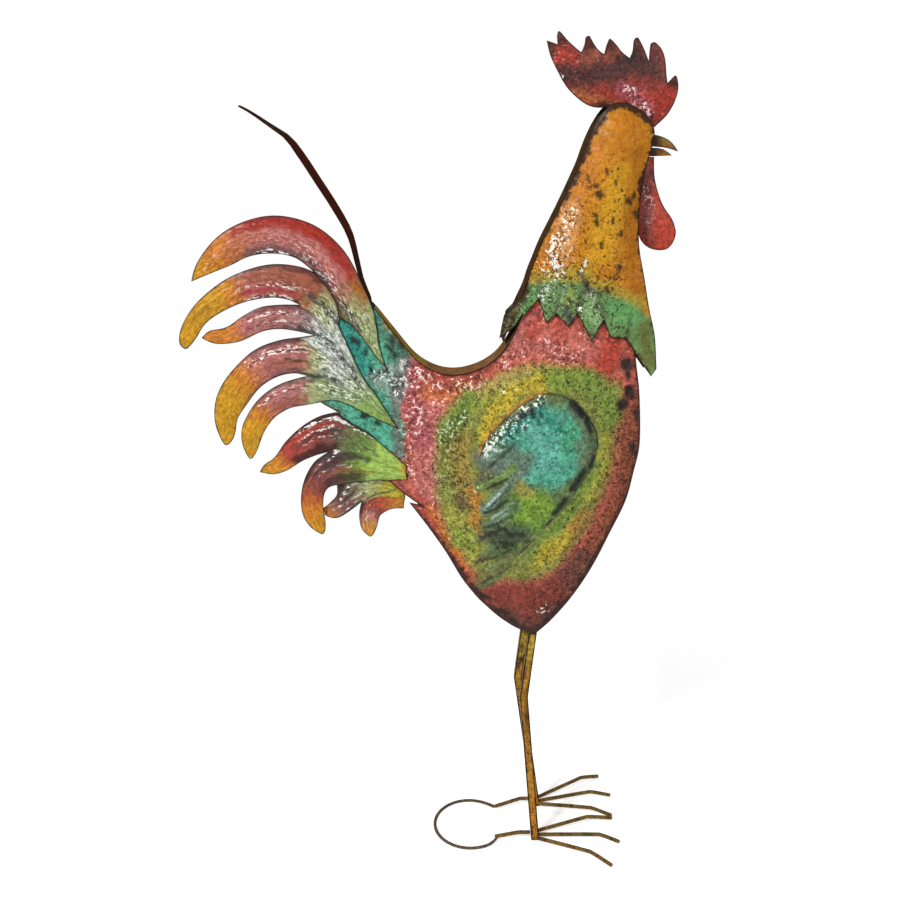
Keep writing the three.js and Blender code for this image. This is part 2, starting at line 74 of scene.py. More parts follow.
# %% Camera
camera = bpy.data.objects.new("camera", bpy.data.cameras.new("camera"))
bpy.context.scene.collection.objects.link(camera)
camera.location = place(-22.7, -1300, 883.6)
camera.rotation_euler = (math.radians(90 - 16), 0, math.radians(-1))
camera.data.lens = 45.2
camera.data.sensor_width = 36
bpy.context.scene.camera = camera
print("camera at", tuple(round(c, 3) for c in camera.location))


# %% Selecting
def deselect():
    if bpy.context.object and bpy.context.object.mode != "OBJECT":
        bpy.ops.object.mode_set(mode="OBJECT")
    bpy.ops.object.select_all(action="DESELECT")


def activate(piece):
    deselect()
    piece.select_set(True)
    bpy.context.view_layer.objects.active = piece


# %% Floor
FADE_FROM, FADE_TO = 0.28, 1.1   # metres from the middle
deselect()
bpy.ops.mesh.primitive_circle_add(vertices=96, radius=1.6, fill_type="NGON")
floor = bpy.context.object
floor.name = "floor"
paper = bpy.data.materials.new("paper_white")
paper.use_nodes = True
tree = paper.node_tree
sheet = tree.nodes["Principled BSDF"]
for socket, value in (("Base Color", (0.86, 0.86, 0.86, 1)), ("Roughness", 0.95), ("Specular IOR Level", 0.1),
                      ("Emission Color", (1, 1, 1, 1)), ("Emission Strength", 0.42)):
    sheet.inputs[socket].default_value = value
spot = tree.nodes.new("ShaderNodeTexCoord")
away = tree.nodes.new("ShaderNodeVectorMath")
away.operation = "LENGTH"
fade = tree.nodes.new("ShaderNodeMapRange")
fade.interpolation_type = "SMOOTHSTEP"
fade.inputs["From Min"].default_value = FADE_FROM
fade.inputs["From Max"].default_value = FADE_TO
clear = tree.nodes.new("ShaderNodeBsdfTransparent")
blend = tree.nodes.new("ShaderNodeMixShader")
for output, socket in (
        (spot.outputs["Object"], away.inputs[0]), (away.outputs["Value"], fade.inputs["Value"]),
        (fade.outputs[0], blend.inputs[0]), (sheet.outputs[0], blend.inputs[1]), (clear.outputs[0], blend.inputs[2]),
        (blend.outputs[0], tree.nodes["Material Output"].inputs["Surface"])):
    tree.links.new(output, socket)
floor.data.materials.append(paper)
print("floor fades from", FADE_FROM, "to", FADE_TO, "m")

# %% [markdown]
# A plain white world would wash the glossy paint out if it lit the piece at full strength. So the world
# node asks whether a ray comes from the camera: the camera sees plain white, and the metal gets less.

# %% World
ROOM_LIGHT = 0.40
world = bpy.data.worlds.new("studio")
bpy.context.scene.world = world
world.use_nodes = True
sky = world.node_tree
light_path = sky.nodes.new("ShaderNodeLightPath")
strength = sky.nodes.new("ShaderNodeMapRange")
strength.inputs["To Min"].default_value = ROOM_LIGHT
strength.inputs["To Max"].default_value = 1.0
sky.links.new(light_path.outputs["Is Camera Ray"], strength.inputs["Value"])
sky.links.new(strength.outputs[0], sky.nodes["Background"].inputs["Strength"])
sky.nodes["Background"].inputs["Color"].default_value = (1, 1, 1, 1)
bpy.context.scene.view_settings.view_transform = "Standard"


# %% Softboxes
def softbox(name, spot, size, watts):
    light = bpy.data.objects.new(name, bpy.data.lights.new(name, "AREA"))
    bpy.context.scene.collection.objects.link(light)
    light.location = spot
    light.rotation_euler = (Vector((0, 0, 0.5)) - Vector(spot)).to_track_quat("-Z", "Y").to_euler()
    light.data.shape = "DISK"
    light.data.size = size
    light.data.energy = watts
    print(name, watts, "W")


softbox("key_light", (-1.5, -2.1, 2.3), 0.6, 78)
softbox("fill_light", (1.9, -2.3, 1.3), 1.2, 22)
softbox("back_light", (0.4, 2.6, 2.2), 1.8, 26)

# %% [markdown]
# ## From faceted node to smooth sheet
# A real side is one sheet, cut out and beaten over a form. It could be drawn anew as a curve and filled,
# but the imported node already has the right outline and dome, as a closed plate 1 mm thick. So its copy
# keeps the outer skin only, is subdivided with its sharp corners held, pressed by a function, and gets
# its thickness back from Solidify.

# %% Copying a node
MERGE = 0.02 * MM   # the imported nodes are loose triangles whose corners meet


def copy_of(node, name):
    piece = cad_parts[node].copy()
    piece.data = piece.data.copy()
    piece.name = name
    piece.data.materials.clear()
    bpy.context.scene.collection.objects.link(piece)
    activate(piece)
    bpy.ops.object.mode_set(mode="EDIT")
    bpy.ops.mesh.select_all(action="SELECT")
    bpy.ops.mesh.remove_doubles(threshold=MERGE)
    bpy.ops.mesh.select_all(action="DESELECT")
    bpy.ops.object.mode_set(mode="OBJECT")
    return piece


def apply(piece, kind, **settings):
    modifier = piece.modifiers.new(kind, kind)
    for key, value in settings.items():
        setattr(modifier, key, value)
    activate(piece)
    bpy.ops.object.modifier_apply(modifier=modifier.name)


def keep_outer_skin(piece, side):
    """Deletes the faces that don't look out along side * Y."""
    for face in piece.data.polygons:
        face.select = side * face.normal.y < 0.2
    bpy.context.tool_settings.mesh_select_mode = (False, False, True)
    bpy.ops.object.mode_set(mode="EDIT")
    bpy.ops.mesh.delete(type="FACE")
    bpy.ops.mesh.select_all(action="SELECT")
    bpy.ops.mesh.tris_convert_to_quads(face_threshold=math.radians(30), shape_threshold=math.radians(60))
    bpy.ops.object.mode_set(mode="OBJECT")


# %% [markdown]
# Subdivision pulls an open border inwards and rounds its corners, which would blunt the comb's points and
# the collar's teeth. The border is therefore moved the other way first, until the smooth curve through it
# meets the outline again, and its sharp corners are creased.

# %% The sheet's border
SHARP_TURN = math.radians(38)
BORDER_ROUNDS = 8


def border_loops(mesh):
    """The open border as closed lists of vertex numbers."""
    count = {}
    for face in mesh.polygons:
        for edge in face.edge_keys:
            count[edge] = count.get(edge, 0) + 1
    links = {}
    for (a, b), uses in count.items():
        if uses == 1:
            links.setdefault(a, []).append(b)
            links.setdefault(b, []).append(a)
    loops = []
    seen = set()
    for first in links:
        if first in seen:
            continue
        loop = [first]
        seen.add(first)
        while onward := [v for v in links[loop[-1]] if v not in seen]:
            loop.append(onward[0])
            seen.add(onward[0])
        loops.append(loop)
    return loops


def fit_border(piece, pinned):
    """Creases the border's sharp corners, and fits the smooth border to the node's own outline. The
    border also keeps its straight sides where pinned(x, z) is true."""
    mesh = piece.data
    crease = mesh.attributes.new("crease_vert", "FLOAT", "POINT")
    for loop in border_loops(mesh):
        target = np.array([mesh.vertices[v].co for v in loop])
        ahead = np.roll(target, -1, axis=0) - target
        behind = np.roll(ahead, 1, axis=0)
        cosine = (ahead * behind).sum(1) / (np.linalg.norm(ahead, axis=1) * np.linalg.norm(behind, axis=1))
        corner = np.arccos(np.clip(cosine, -1, 1)) > SHARP_TURN
        corner |= pinned(*drawn(target).T)
        control = target.copy()
        for _ in range(BORDER_ROUNDS):
            limit = (np.roll(control, 1, axis=0) + 4 * control + np.roll(control, -1, axis=0)) / 6
            control = np.where(corner[:, None], target, control + target - limit)
        for i, vertex in enumerate(loop):
            mesh.vertices[vertex].co = control[i]
            crease.data[vertex].value = float(corner[i])


# %% Measuring
def flat_points(mesh):
    coords = np.empty(len(mesh.vertices) * 3)
    mesh.vertices.foreach_get("co", coords)
    return coords.reshape(-1, 3)


def put_points(mesh, coords):
    mesh.vertices.foreach_set("co", coords.ravel())
    mesh.update()


def distance_to(points, path, closed=False):
    """Distance in the X-Z plane of each point from a path of [x, z] places."""
    starts = np.asarray(path, float)
    ends = np.roll(starts, -1, axis=0)
    if not closed:
        starts, ends = starts[:-1], ends[:-1]
    least = np.full(len(points), np.inf)
    for a, b in zip(starts, ends):
        along = np.clip(((points - a) @ (b - a)) / max((b - a) @ (b - a), 1e-12), 0, 1)
        gap = np.hypot(*(points - a - along[:, None] * (b - a)).T)
        least = np.minimum(least, gap)
    return least


def inside(points, outline):
    corners = np.asarray(outline, float)
    result = np.zeros(len(points), bool)
    for (ax, az), (bx, bz) in zip(corners, np.roll(corners, -1, axis=0)):
        if az != bz:
            crosses = (az > points[:, 1]) != (bz > points[:, 1])
            result ^= crosses & (points[:, 0] < ax + (points[:, 1] - az) / (bz - az) * (bx - ax))
    return result


def signed_distance(points, outline):
    return np.where(inside(points, outline), 1, -1) * distance_to(points, outline, closed=True)


def ease(low, high, value):
    share = np.clip((value - low) / (high - low), 0, 1)
    return share * share * (3 - 2 * share)


# %% Noise and hammer marks
def fine_noise(coords, size, seed):
    offset = Vector((seed * 7.3, seed * 3.1, seed * 1.7))
    return np.array([noise.noise(Vector(c) / size + offset) for c in coords])


def hammered(coords, size, seed):
    """Shallow round dents: 0 at their rims and 1 at their centres."""
    offset = Vector((seed * 5.1, seed * 2.3, seed * 9.7))
    cell = [noise.voronoi(Vector((c[0], 0.35 * c[1], c[2])) / size + offset)[0][0] for c in coords]
    return 1 - np.clip(np.array(cell) / 0.62, 0, 1) ** 2


# %% Pressing a sheet
SHEET_LEVELS = 3
SHEET_THICKNESS = 0.9 * MM


def store(piece, name, values):
    attribute = piece.data.attributes.new(name, "FLOAT", "POINT")
    attribute.data.foreach_set("value", np.asarray(values, np.float32))


def nowhere(x, z):
    return np.zeros(len(x), bool)


def pressed_sheet(node, name, side, press, brush, pinned=nowhere, tuck=None):
    """The node's outer skin, smoothed, pressed and painted, with its thickness put back behind it.

    press(flat, coords, edge) gives how far each point moves out along side * Y, in millimetres, and
    brush(piece, coords, edge) paints it. flat holds the points' places in the drawing."""
    piece = copy_of(node, name)
    keep_outer_skin(piece, side)
    if tuck:
        tuck(piece, side)
    fit_border(piece, pinned)
    apply(piece, "SUBSURF", levels=SHEET_LEVELS, render_levels=SHEET_LEVELS)
    coords = flat_points(piece.data)
    borders = [coords[loop][:, [0, 2]] for loop in border_loops(piece.data)]
    edge = np.min([distance_to(coords[:, [0, 2]], border, closed=True) for border in borders], axis=0) / MM
    store(piece, "edge", edge)
    brush(piece, coords.copy(), edge)
    coords[:, 1] += side * MM * press(drawn(coords), coords, edge)
    put_points(piece.data, coords)
    apply(piece, "SOLIDIFY", thickness=SHEET_THICKNESS, offset=-1)
    return piece


def finish_piece(piece, nodes, material, bend=34):
    activate(piece)
    bpy.ops.object.shade_smooth_by_angle(angle=math.radians(bend))
    piece.data.materials.append(material)
    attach(piece, "root")
    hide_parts(*nodes)
    print(piece.name, len(piece.data.polygons), "faces")


# %% [markdown]
# ## Strips, bars and rods
# The edges of the two sides are joined by bent strips, the legs are square bar and the toes are round
# rod. A curve with a bevel could make each of them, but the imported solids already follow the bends, so
# they keep their closed shape. A strip's long edges are creased a little less than fully, a bar's are
# bevelled, and a rod's rings are creased so that it keeps its bends while its eight sides become round.

# %% Creases and facets
STRIP_CREASE = 0.85
STRIP_EDGE = 1.6 * MM   # a strip's thickness, and a little more
RING_SIDE = 2.2 * MM    # longer than a side of a rod's ring, shorter than the steps along it


def crease_edges(piece, choose, value):
    mesh = piece.data
    crease = mesh.attributes.new("crease_edge", "FLOAT", "EDGE")
    for edge in mesh.edges:
        a, b = (mesh.vertices[v].co for v in edge.vertices)
        if choose(a, b):
            crease.data[edge.index].value = value


def merge_facets(piece):
    bpy.ops.object.mode_set(mode="EDIT")
    bpy.ops.mesh.select_all(action="SELECT")
    bpy.ops.mesh.tris_convert_to_quads(face_threshold=math.radians(20), shape_threshold=math.radians(80))
    bpy.ops.object.mode_set(mode="OBJECT")


def swollen(piece, amount):
    """Moves each point out along its normal by amount, in millimetres."""
    coords = flat_points(piece.data)
    normals = np.array([vertex.normal for vertex in piece.data.vertices])
    coords += normals * (MM * np.broadcast_to(amount, len(coords)))[:, None]
    put_points(piece.data, coords)


def stand(piece):
    """Keeps the piece's lowest points on the ground."""
    for vertex in piece.data.vertices:
        vertex.co.z = max(vertex.co.z, 0.0)


# %% [markdown]
# One length of the loop's solid is twisted between two of its rings, so its sides are triangles that
# cross over and pinch the wire. Those faces are deleted, and Bridge Edge Loops joins the two open rings
# with straight sides.

# %% Rods and strips
def bridge_length(piece):
    """Replaces the one length whose sides are triangles by straight ones between the same two rings."""
    activate(piece)
    bpy.ops.object.mode_set(mode="EDIT")
    bpy.ops.mesh.select_mode(type="FACE")
    bpy.ops.mesh.select_all(action="DESELECT")
    bpy.ops.mesh.select_face_by_sides(number=3, type="EQUAL", extend=False)
    bpy.ops.mesh.delete(type="FACE")
    bpy.ops.mesh.select_mode(type="EDGE")
    bpy.ops.mesh.select_all(action="DESELECT")
    bpy.ops.mesh.select_non_manifold()
    bpy.ops.mesh.bridge_edge_loops()
    bpy.ops.mesh.select_all(action="SELECT")
    bpy.ops.mesh.normals_make_consistent(inside=False)
    bpy.ops.mesh.select_mode(type="VERT")
    bpy.ops.object.mode_set(mode="OBJECT")


def round_rod(node, name, bend, inflate, bridged=False):
    piece = copy_of(node, name)
    merge_facets(piece)
    if bridged:
        bridge_length(piece)
    crease_edges(piece, lambda a, b: (a - b).length < RING_SIDE, bend)
    apply(piece, "SUBSURF", levels=2, render_levels=2)
    swollen(piece, inflate)
    return piece


def soft_strip(node, name):
    piece = copy_of(node, name)
    merge_facets(piece)
    crease_edges(piece, lambda a, b: (a - b).length < STRIP_EDGE or abs(a.y - b.y) < 4 * MM, STRIP_CREASE)
    apply(piece, "SUBSURF", levels=2, render_levels=2)
    return piece


# %% Bars
BAR_CORNER = math.radians(40)


def edge_distance(piece, corners):
    """How far each point lies from the nearest of the corners, which are pairs of places, in millimetres."""
    points = flat_points(piece.data)
    least = np.full(len(points), np.inf)
    for a, b in corners:
        along = np.clip((points - a) @ (b - a) / max((b - a) @ (b - a), 1e-12), 0, 1)
        least = np.minimum(least, np.linalg.norm(points - a - along[:, None] * (b - a), axis=1))
    return least / MM


def bevelled(node, name, width, inflate):
    """A solid with rounded corners, split finely, that stores how far its points lie from the corners."""
    piece = copy_of(node, name)
    merge_facets(piece)
    sharp = {}
    for face in piece.data.polygons:
        for edge in face.edge_keys:
            sharp.setdefault(edge, []).append(face.normal.copy())
    places = [np.array(vertex.co) for vertex in piece.data.vertices]
    corners = [(places[a], places[b]) for (a, b), turns in sharp.items()
               if len(turns) == 2 and turns[0].angle(turns[1]) > BAR_CORNER]
    apply(piece, "BEVEL", width=width * MM, segments=2, limit_method="ANGLE", angle_limit=BAR_CORNER)
    apply(piece, "SUBSURF", levels=3, render_levels=3, subdivision_type="SIMPLE")
    store(piece, "edge", edge_distance(piece, corners))
    swollen(piece, inflate)
    return piece


# %% [markdown]
# ## Paint
# The rooster was brushed by hand. Its colours could come from layered noise, but strokes on a real piece
# follow its form, so they are laid on here as a painter would: soft-edged lines and areas given in
# drawing millimetres. Some strokes are painted highlights and painted shade. Each stroke writes into the
# piece's `paint` colour, or into one of the masks that the shader reads: bare metal with painted glints,
# `speckle` and `patina`.

# %% Palette
CORAL = (0.43, 0.095, 0.062)
PINK = (0.47, 0.15, 0.13)
RED = (0.38, 0.045, 0.028)
CRIMSON = (0.34, 0.035, 0.022)
BRICK = (0.22, 0.065, 0.03)
MAUVE = (0.35, 0.13, 0.12)
ORANGE = (0.50, 0.17, 0.022)
AMBER = (0.33, 0.105, 0.006)
OCHRE = (0.46, 0.17, 0.010)
GOLD = (0.54, 0.27, 0.014)
YELLOW = (0.44, 0.33, 0.025)
YELLOW_GREEN = (0.30, 0.30, 0.04)
OLIVE = (0.20, 0.22, 0.045)
GREEN = (0.13, 0.23, 0.035)
SAGE = (0.13, 0.24, 0.08)
MINT = (0.23, 0.37, 0.16)
LIME = (0.28, 0.42, 0.08)
TEAL = (0.075, 0.31, 0.21)
DEEP_TEAL = (0.025, 0.21, 0.17)
GREY = (0.22, 0.29, 0.25)
UMBER = (0.035, 0.016, 0.010)
RIM_BROWN = (0.19, 0.09, 0.034)
TAN = (0.25, 0.10, 0.022)
TOE_BROWN = (0.14, 0.08, 0.02)
WIRE_GREY = (0.10, 0.07, 0.045)
BLACK = (0.008, 0.010, 0.007)
# A painted highlight for the lit lines along the wing's feathers
LOBE_HIGHLIGHT = (0.36, 0.46, 0.42)


# %% Brush tools
class Coat:
    """The paint on one piece, kept as arrays over its points until it is stored."""

    def __init__(self, coords, base, seed, wobble=4.0):
        self.flat = drawn(coords)
        drift = np.column_stack([fine_noise(coords, 16 * MM, seed), fine_noise(coords, 16 * MM, seed + 1)])
        drift += 0.6 * np.column_stack([fine_noise(coords, 5 * MM, seed + 2), fine_noise(coords, 5 * MM, seed + 3)])
        self.brushed = self.flat + wobble * drift
        self.paint = np.tile(np.array(base, float), (len(coords), 1))
        self.masks = {name: np.zeros(len(coords)) for name in ("bare", "speckle", "patina")}

    def put(self, target, mask):
        """Lays a colour on where mask is, or raises the mask that target names."""
        if isinstance(target, str):
            self.masks[target] = np.maximum(self.masks[target], mask)
        else:
            self.paint += (np.array(target) - self.paint) * mask[:, None]

    def bury(self, colour, mask):
        """Lays colour on, and hides beneath it the rubbed places with their painted glints, and the speckled ones."""
        self.put(colour, mask)
        for name in self.masks:
            self.masks[name] = self.masks[name] * (1 - mask)

    def line(self, target, path, width, strength, soft=None, crisp=False):
        """A stroke that reaches width to each side of path, and fades over soft. A crisp one has no wobble."""
        soft = width * 0.6 if soft is None else soft
        away = distance_to(self.flat if crisp else self.brushed, path)
        self.put(target, strength * (1 - ease(width - soft, width + soft, away)))

    def area(self, target, outline, soft, strength):
        depth = signed_distance(self.brushed, outline)
        self.put(target, strength * ease(-soft, soft, depth))

    def lay(self, strokes):
        """Strokes in turn: (what, path, width, strength), or (what, outline, softness, strength, "area")."""
        for what, path, width, strength, *filled in strokes:
            (self.area if filled else self.line)(what, path, width, strength)

    def dabs(self, colour, spots, step, width, strength, soft=None):
        """A short stroke along step at each spot: (x, z), or (x, z, how many times as wide)."""
        for x, z, *times in spots:
            wide = (times[0] if times else 1) * width
            self.line(colour, [(x, z), (x + step[0], z + step[1])], wide, strength, soft)

    def store(self, piece):
        for name, mask in self.masks.items():
            store(piece, name, mask)
        colours = piece.data.attributes.new("paint", "FLOAT_COLOR", "POINT")
        rgba = np.column_stack([np.clip(self.paint, 0, 1), np.ones(len(self.paint))])
        colours.data.foreach_set("color", rgba.astype(np.float32).ravel())


# %% [markdown]
# ## Shaders
# Old paint on steel is burnt along the cut edge, and the hammer marks get painted light on their ridges and
# painted shade in their dents. Each material could be built alone, but all of them share this, so two node
# groups hold it. `metal_grain` makes the small pattern of the metal's surface, and the paint group lays paint,
# bare ridges with painted glints, speckles, patina, the painted light and shade and a burnt edge over it.
# The Principled shader itself stays in each material.

# %% Node helpers
FLOAT, COLOR, VECTOR = "NodeSocketFloat", "NodeSocketColor", "NodeSocketVector"


def add_node(tree, kind, inputs=(), **settings):
    node = tree.nodes.new(kind)
    for key, value in settings.items():
        setattr(node, key, value)
    for name, value in dict(inputs).items():
        if isinstance(value, bpy.types.NodeSocket):
            tree.links.new(value, node.inputs[name])
        else:
            node.inputs[name].default_value = value
    return node


def math_node(tree, operation, a, b):
    return add_node(tree, "ShaderNodeMath", {0: a, 1: b}, operation=operation).outputs[0]


def ramp(tree, value, low, high):
    """0 below low and 1 above high, which may be sockets."""
    inputs = {"Value": value, "From Min": low, "From Max": high}
    return add_node(tree, "ShaderNodeMapRange", inputs, interpolation_type="SMOOTHSTEP").outputs[0]


def mixed(tree, factor, a, b, blend="MIX"):
    a, b = (value if isinstance(value, bpy.types.NodeSocket) else (*value, 1) for value in (a, b))
    inputs = {"Factor": factor, 6: a, 7: b}
    return add_node(tree, "ShaderNodeMix", inputs, data_type="RGBA", blend_type=blend).outputs[2]


def noise_node(tree, vector, scale, detail, distortion=0.0):
    inputs = {"Vector": vector, "Scale": scale, "Detail": detail, "Distortion": distortion}
    return add_node(tree, "ShaderNodeTexNoise", inputs).outputs["Fac"]


def new_group(name, inputs, outputs):
    tree = bpy.data.node_groups.new(name, "ShaderNodeTree")
    for label, kind, value in inputs:
        socket = tree.interface.new_socket(label, in_out="INPUT", socket_type=kind)
        socket.default_value = value
    for label, kind in outputs:
        tree.interface.new_socket(label, in_out="OUTPUT", socket_type=kind)
    return tree, tree.nodes.new("NodeGroupInput"), tree.nodes.new("NodeGroupOutput")


# %% Group: metal_grain
def make_grain_group():
    tree, given, made = new_group(
        "metal_grain", [("Vector", VECTOR, (0, 0, 0)), ("Scale", FLOAT, 200.0)], [("Dents", FLOAT), ("Flecks", FLOAT)])
    dents = noise_node(tree, given.outputs["Vector"], given.outputs["Scale"], 2.0, 0.5)
    finer = math_node(tree, "MULTIPLY", given.outputs["Scale"], 2.3)
    flecks = noise_node(tree, given.outputs["Vector"], finer, 3.0, 0.3)
    tree.links.new(ramp(tree, dents, 0.32, 0.68), made.inputs["Dents"])
    tree.links.new(ramp(tree, flecks, 0.30, 0.70), made.inputs["Flecks"])
    return tree


# %% Group: aged_paint_and_painted_light
def make_paint_group():
    tree, given, made = new_group(
        "aged_paint_and_painted_light",
        [("Paint", COLOR, (0.5, 0.5, 0.5, 1)), ("Dents", FLOAT, 0.5), ("Flecks", FLOAT, 0.5), ("Edge", FLOAT, 30.0),
         ("Bare", FLOAT, 0.0), ("Speckle", FLOAT, 0.3), ("Patina", FLOAT, 0.2), ("Burn Width", FLOAT, 3.0),
         ("Burnt", COLOR, (0.06, 0.014, 0.008, 1)), ("Contrast", FLOAT, 0.45), ("Relief", FLOAT, 0.5)],
        [("Color", COLOR), ("Roughness", FLOAT), ("Metallic", FLOAT), ("Normal", VECTOR)])
    here = tree.nodes.new("ShaderNodeTexCoord").outputs["Object"]
    dents, flecks = given.outputs["Dents"], given.outputs["Flecks"]
    cloud = noise_node(tree, here, 60, 3)
    dot = noise_node(tree, here, 230, 4, 0.6)
    blot = noise_node(tree, here, 85, 6, 0.5)

    def times(a, b):
        return math_node(tree, "MULTIPLY", a, b)

    def plus(a, b):
        return math_node(tree, "ADD", a, b)

    def less(a, b):
        return math_node(tree, "SUBTRACT", a, b)

    def larger(a, b):
        return math_node(tree, "MAXIMUM", a, b)

    # Painted light and shade of the hammer marks: the colour is lighter on the ridges and darker in the dents.
    ridge = plus(times(dents, 0.58), times(flecks, 0.42))
    wear_and_glint = given.outputs["Bare"]
    swing = times(times(less(ridge, 0.5), 1.9), plus(given.outputs["Contrast"], times(wear_and_glint, 0.55)))
    tone = times(plus(swing, 1.0), plus(0.74, times(cloud, 0.52)))
    tone = larger(tone, 0.12)
    shade = add_node(tree, "ShaderNodeCombineColor", {"Red": tone, "Green": tone, "Blue": tone}).outputs[0]
    color = mixed(tree, 1.0, given.outputs["Paint"], shade, "MULTIPLY")

    # Where the mask is high, worn ridges show bare metal with a painted glint, between dents darkened by painted
    # shadow.
    shadow = times(times(less(1.0, ramp(tree, ridge, 0.25, 0.48)), ramp(tree, wear_and_glint, 0.3, 0.9)), 0.6)
    color = mixed(tree, shadow, color, (0.020, 0.020, 0.018))
    reach = less(0.98, times(wear_and_glint, 0.56))
    bare = ramp(tree, ridge, reach, plus(reach, 0.17))
    color = mixed(tree, times(bare, plus(0.5, times(wear_and_glint, 0.36))), color, (0.86, 0.85, 0.80))

    # Speckles and larger blots of dark patina.
    start = less(0.73, times(given.outputs["Speckle"], 0.21))
    specks = ramp(tree, dot, start, plus(start, 0.06))
    start = less(1.02, times(given.outputs["Speckle"], 0.24))
    specks = larger(specks, ramp(tree, less(1.0, flecks), start, plus(start, 0.10)))
    color = mixed(tree, times(specks, 0.78), color, (0.016, 0.011, 0.007))
    start = less(0.80, times(given.outputs["Patina"], 0.40))
    blots = ramp(tree, plus(times(blot, 0.8), times(flecks, 0.2)), start, plus(start, 0.08))
    color = mixed(tree, times(blots, plus(0.62, times(less(1.0, ridge), 0.5))), color, (0.014, 0.012, 0.012))

    # The cut edge is burnt, with a ragged inner border, and its outermost line is black.
    ragged = times(less(plus(times(blot, 0.6), times(dot, 0.4)), 0.5), given.outputs["Burn Width"])
    ragged = plus(given.outputs["Edge"], times(ragged, 3.6))
    burnt = less(1.0, ramp(tree, ragged, times(given.outputs["Burn Width"], 0.35), given.outputs["Burn Width"]))
    color = mixed(tree, times(burnt, 0.85), color, given.outputs["Burnt"])
    line = less(1.0, ramp(tree, given.outputs["Edge"], 0.45, 1.2))
    color = mixed(tree, times(line, 0.9), color, (0.006, 0.004, 0.004))

    dark = larger(larger(specks, blots), burnt)
    roughness = plus(less(0.40, times(bare, 0.12)), times(dark, 0.25))
    metallic = times(bare, 0.4)
    height = less(ridge, times(dark, 0.12))
    bump = add_node(tree, "ShaderNodeBump", {"Height": height, "Strength": given.outputs["Relief"], "Distance": 0.0011})
    for label, socket in (("Color", color), ("Roughness", roughness), ("Metallic", metallic),
                          ("Normal", bump.outputs[0])):
        tree.links.new(socket, made.inputs[label])
    return tree


grain_group = make_grain_group()
paint_group = make_paint_group()
print("groups:", grain_group.name, paint_group.name)


# %% Making a material
def attribute(tree, name, output="Fac"):
    return add_node(tree, "ShaderNodeAttribute", attribute_name=name, attribute_type="GEOMETRY").outputs[output]


def aged_and_shaded_material(name, paint=None, grain=200.0, flow=None, coat=0.0, gloss=0.0, **values):
    """A painted metal. paint is a colour, or None where the piece carries its own; flow stretches the grain."""
    material = bpy.data.materials.new(name)
    material.use_nodes = True
    tree = material.node_tree
    shader = tree.nodes["Principled BSDF"]
    if flow:
        along = attribute(tree, "flow", "Vector")
        vector = add_node(tree, "ShaderNodeMapping", {"Vector": along, "Scale": flow}).outputs[0]
    else:
        vector = tree.nodes.new("ShaderNodeTexCoord").outputs["Object"]
    pattern = add_node(tree, "ShaderNodeGroup", node_tree=grain_group)
    tree.links.new(vector, pattern.inputs["Vector"])
    pattern.inputs["Scale"].default_value = grain
    paint_and_light_node = add_node(tree, "ShaderNodeGroup", node_tree=paint_group)
    for label in ("Dents", "Flecks"):
        tree.links.new(pattern.outputs[label], paint_and_light_node.inputs[label])
    if paint is None:
        tree.links.new(attribute(tree, "paint", "Color"), paint_and_light_node.inputs["Paint"])
        for label in ("Edge", "Bare", "Speckle", "Patina"):
            tree.links.new(attribute(tree, label.lower()), paint_and_light_node.inputs[label])
    else:
        paint_and_light_node.inputs["Paint"].default_value = (*paint, 1)
    for label, value in values.items():
        paint_and_light_node.inputs[label.replace("_", " ").title()].default_value = value
    for label in ("Roughness", "Metallic", "Normal"):
        tree.links.new(paint_and_light_node.outputs[label], shader.inputs[label])
    tree.links.new(paint_and_light_node.outputs["Color"], shader.inputs["Base Color"])
    shader.inputs["Coat Weight"].default_value = coat
    shader.inputs["Coat Roughness"].default_value = 0.2
    shader.inputs["Specular IOR Level"].default_value = gloss
    return material


# %% [markdown]
# The sheets are lacquered and shine a little, while the strips, bars and rods were left dull. A piece
# seen up close gets a finer grain. The feathers' grain is stretched along each feather's own flow.

# %% Materials
body_paint = aged_and_shaded_material("body_paint", grain=185, coat=0.06, gloss=0.14, burn_width=2.6, contrast=0.54, relief=1.0)
neck_paint = aged_and_shaded_material("neck_paint", grain=210, coat=0.04, gloss=0.1, burn_width=1.2, contrast=0.24, relief=0.6)
crest_paint = aged_and_shaded_material("crest_paint", grain=250, coat=0.06, gloss=0.12, burn_width=1.6, contrast=0.5, relief=0.6)
feather_paint = aged_and_shaded_material("feather_paint", grain=1.0, coat=0.08, gloss=0.15, flow=(0.14, 0.36, 1), burn_width=1.4,
                              contrast=0.42, relief=0.75, burnt=(0.025, 0.010, 0.008, 1))
rim_paint = aged_and_shaded_material("rim_paint", grain=120, burn_width=1.6, contrast=0.3)
neck_rim_paint = aged_and_shaded_material("neck_rim_paint", (0.062, 0.032, 0.011), grain=120, speckle=0.5, patina=0.5,
                               contrast=0.3)
# The sickle's wide dark border is burnt edge and painted shade of its curved section
sickle_paint = aged_and_shaded_material("sickle_paint", grain=160, burn_width=4, contrast=0.3, burnt=(0.018, 0.006, 0.005, 1))
beak_paint = aged_and_shaded_material("beak_paint", grain=240, gloss=0.08, burn_width=0.9, contrast=0.3, relief=0.25)
leg_paint = aged_and_shaded_material("leg_paint", grain=170, gloss=0.06, burn_width=1.5, contrast=0.5, relief=0.4,
                          burnt=(0.022, 0.010, 0.005, 1))
toe_paint = aged_and_shaded_material("toe_paint", TOE_BROWN, grain=260, gloss=0.04, speckle=0.6, patina=0.55, contrast=0.5,
                          relief=0.3)
wire_paint = aged_and_shaded_material("wire_paint", WIRE_GREY, grain=300, speckle=0.5, patina=0.4, contrast=0.5, relief=0.3)
print("materials:", len(bpy.data.materials))

# %% [markdown]
# ## The body's two sides
# Each side is one sheet, hammered all over its red border and fluted below the collar. Its wing stands
# proud, with feather lobes cut by grooves. A texture could fake the relief, but light from the side shows
# that at once, so the dents, flutes and grooves are pressed into the mesh, as distances from drawn lines.

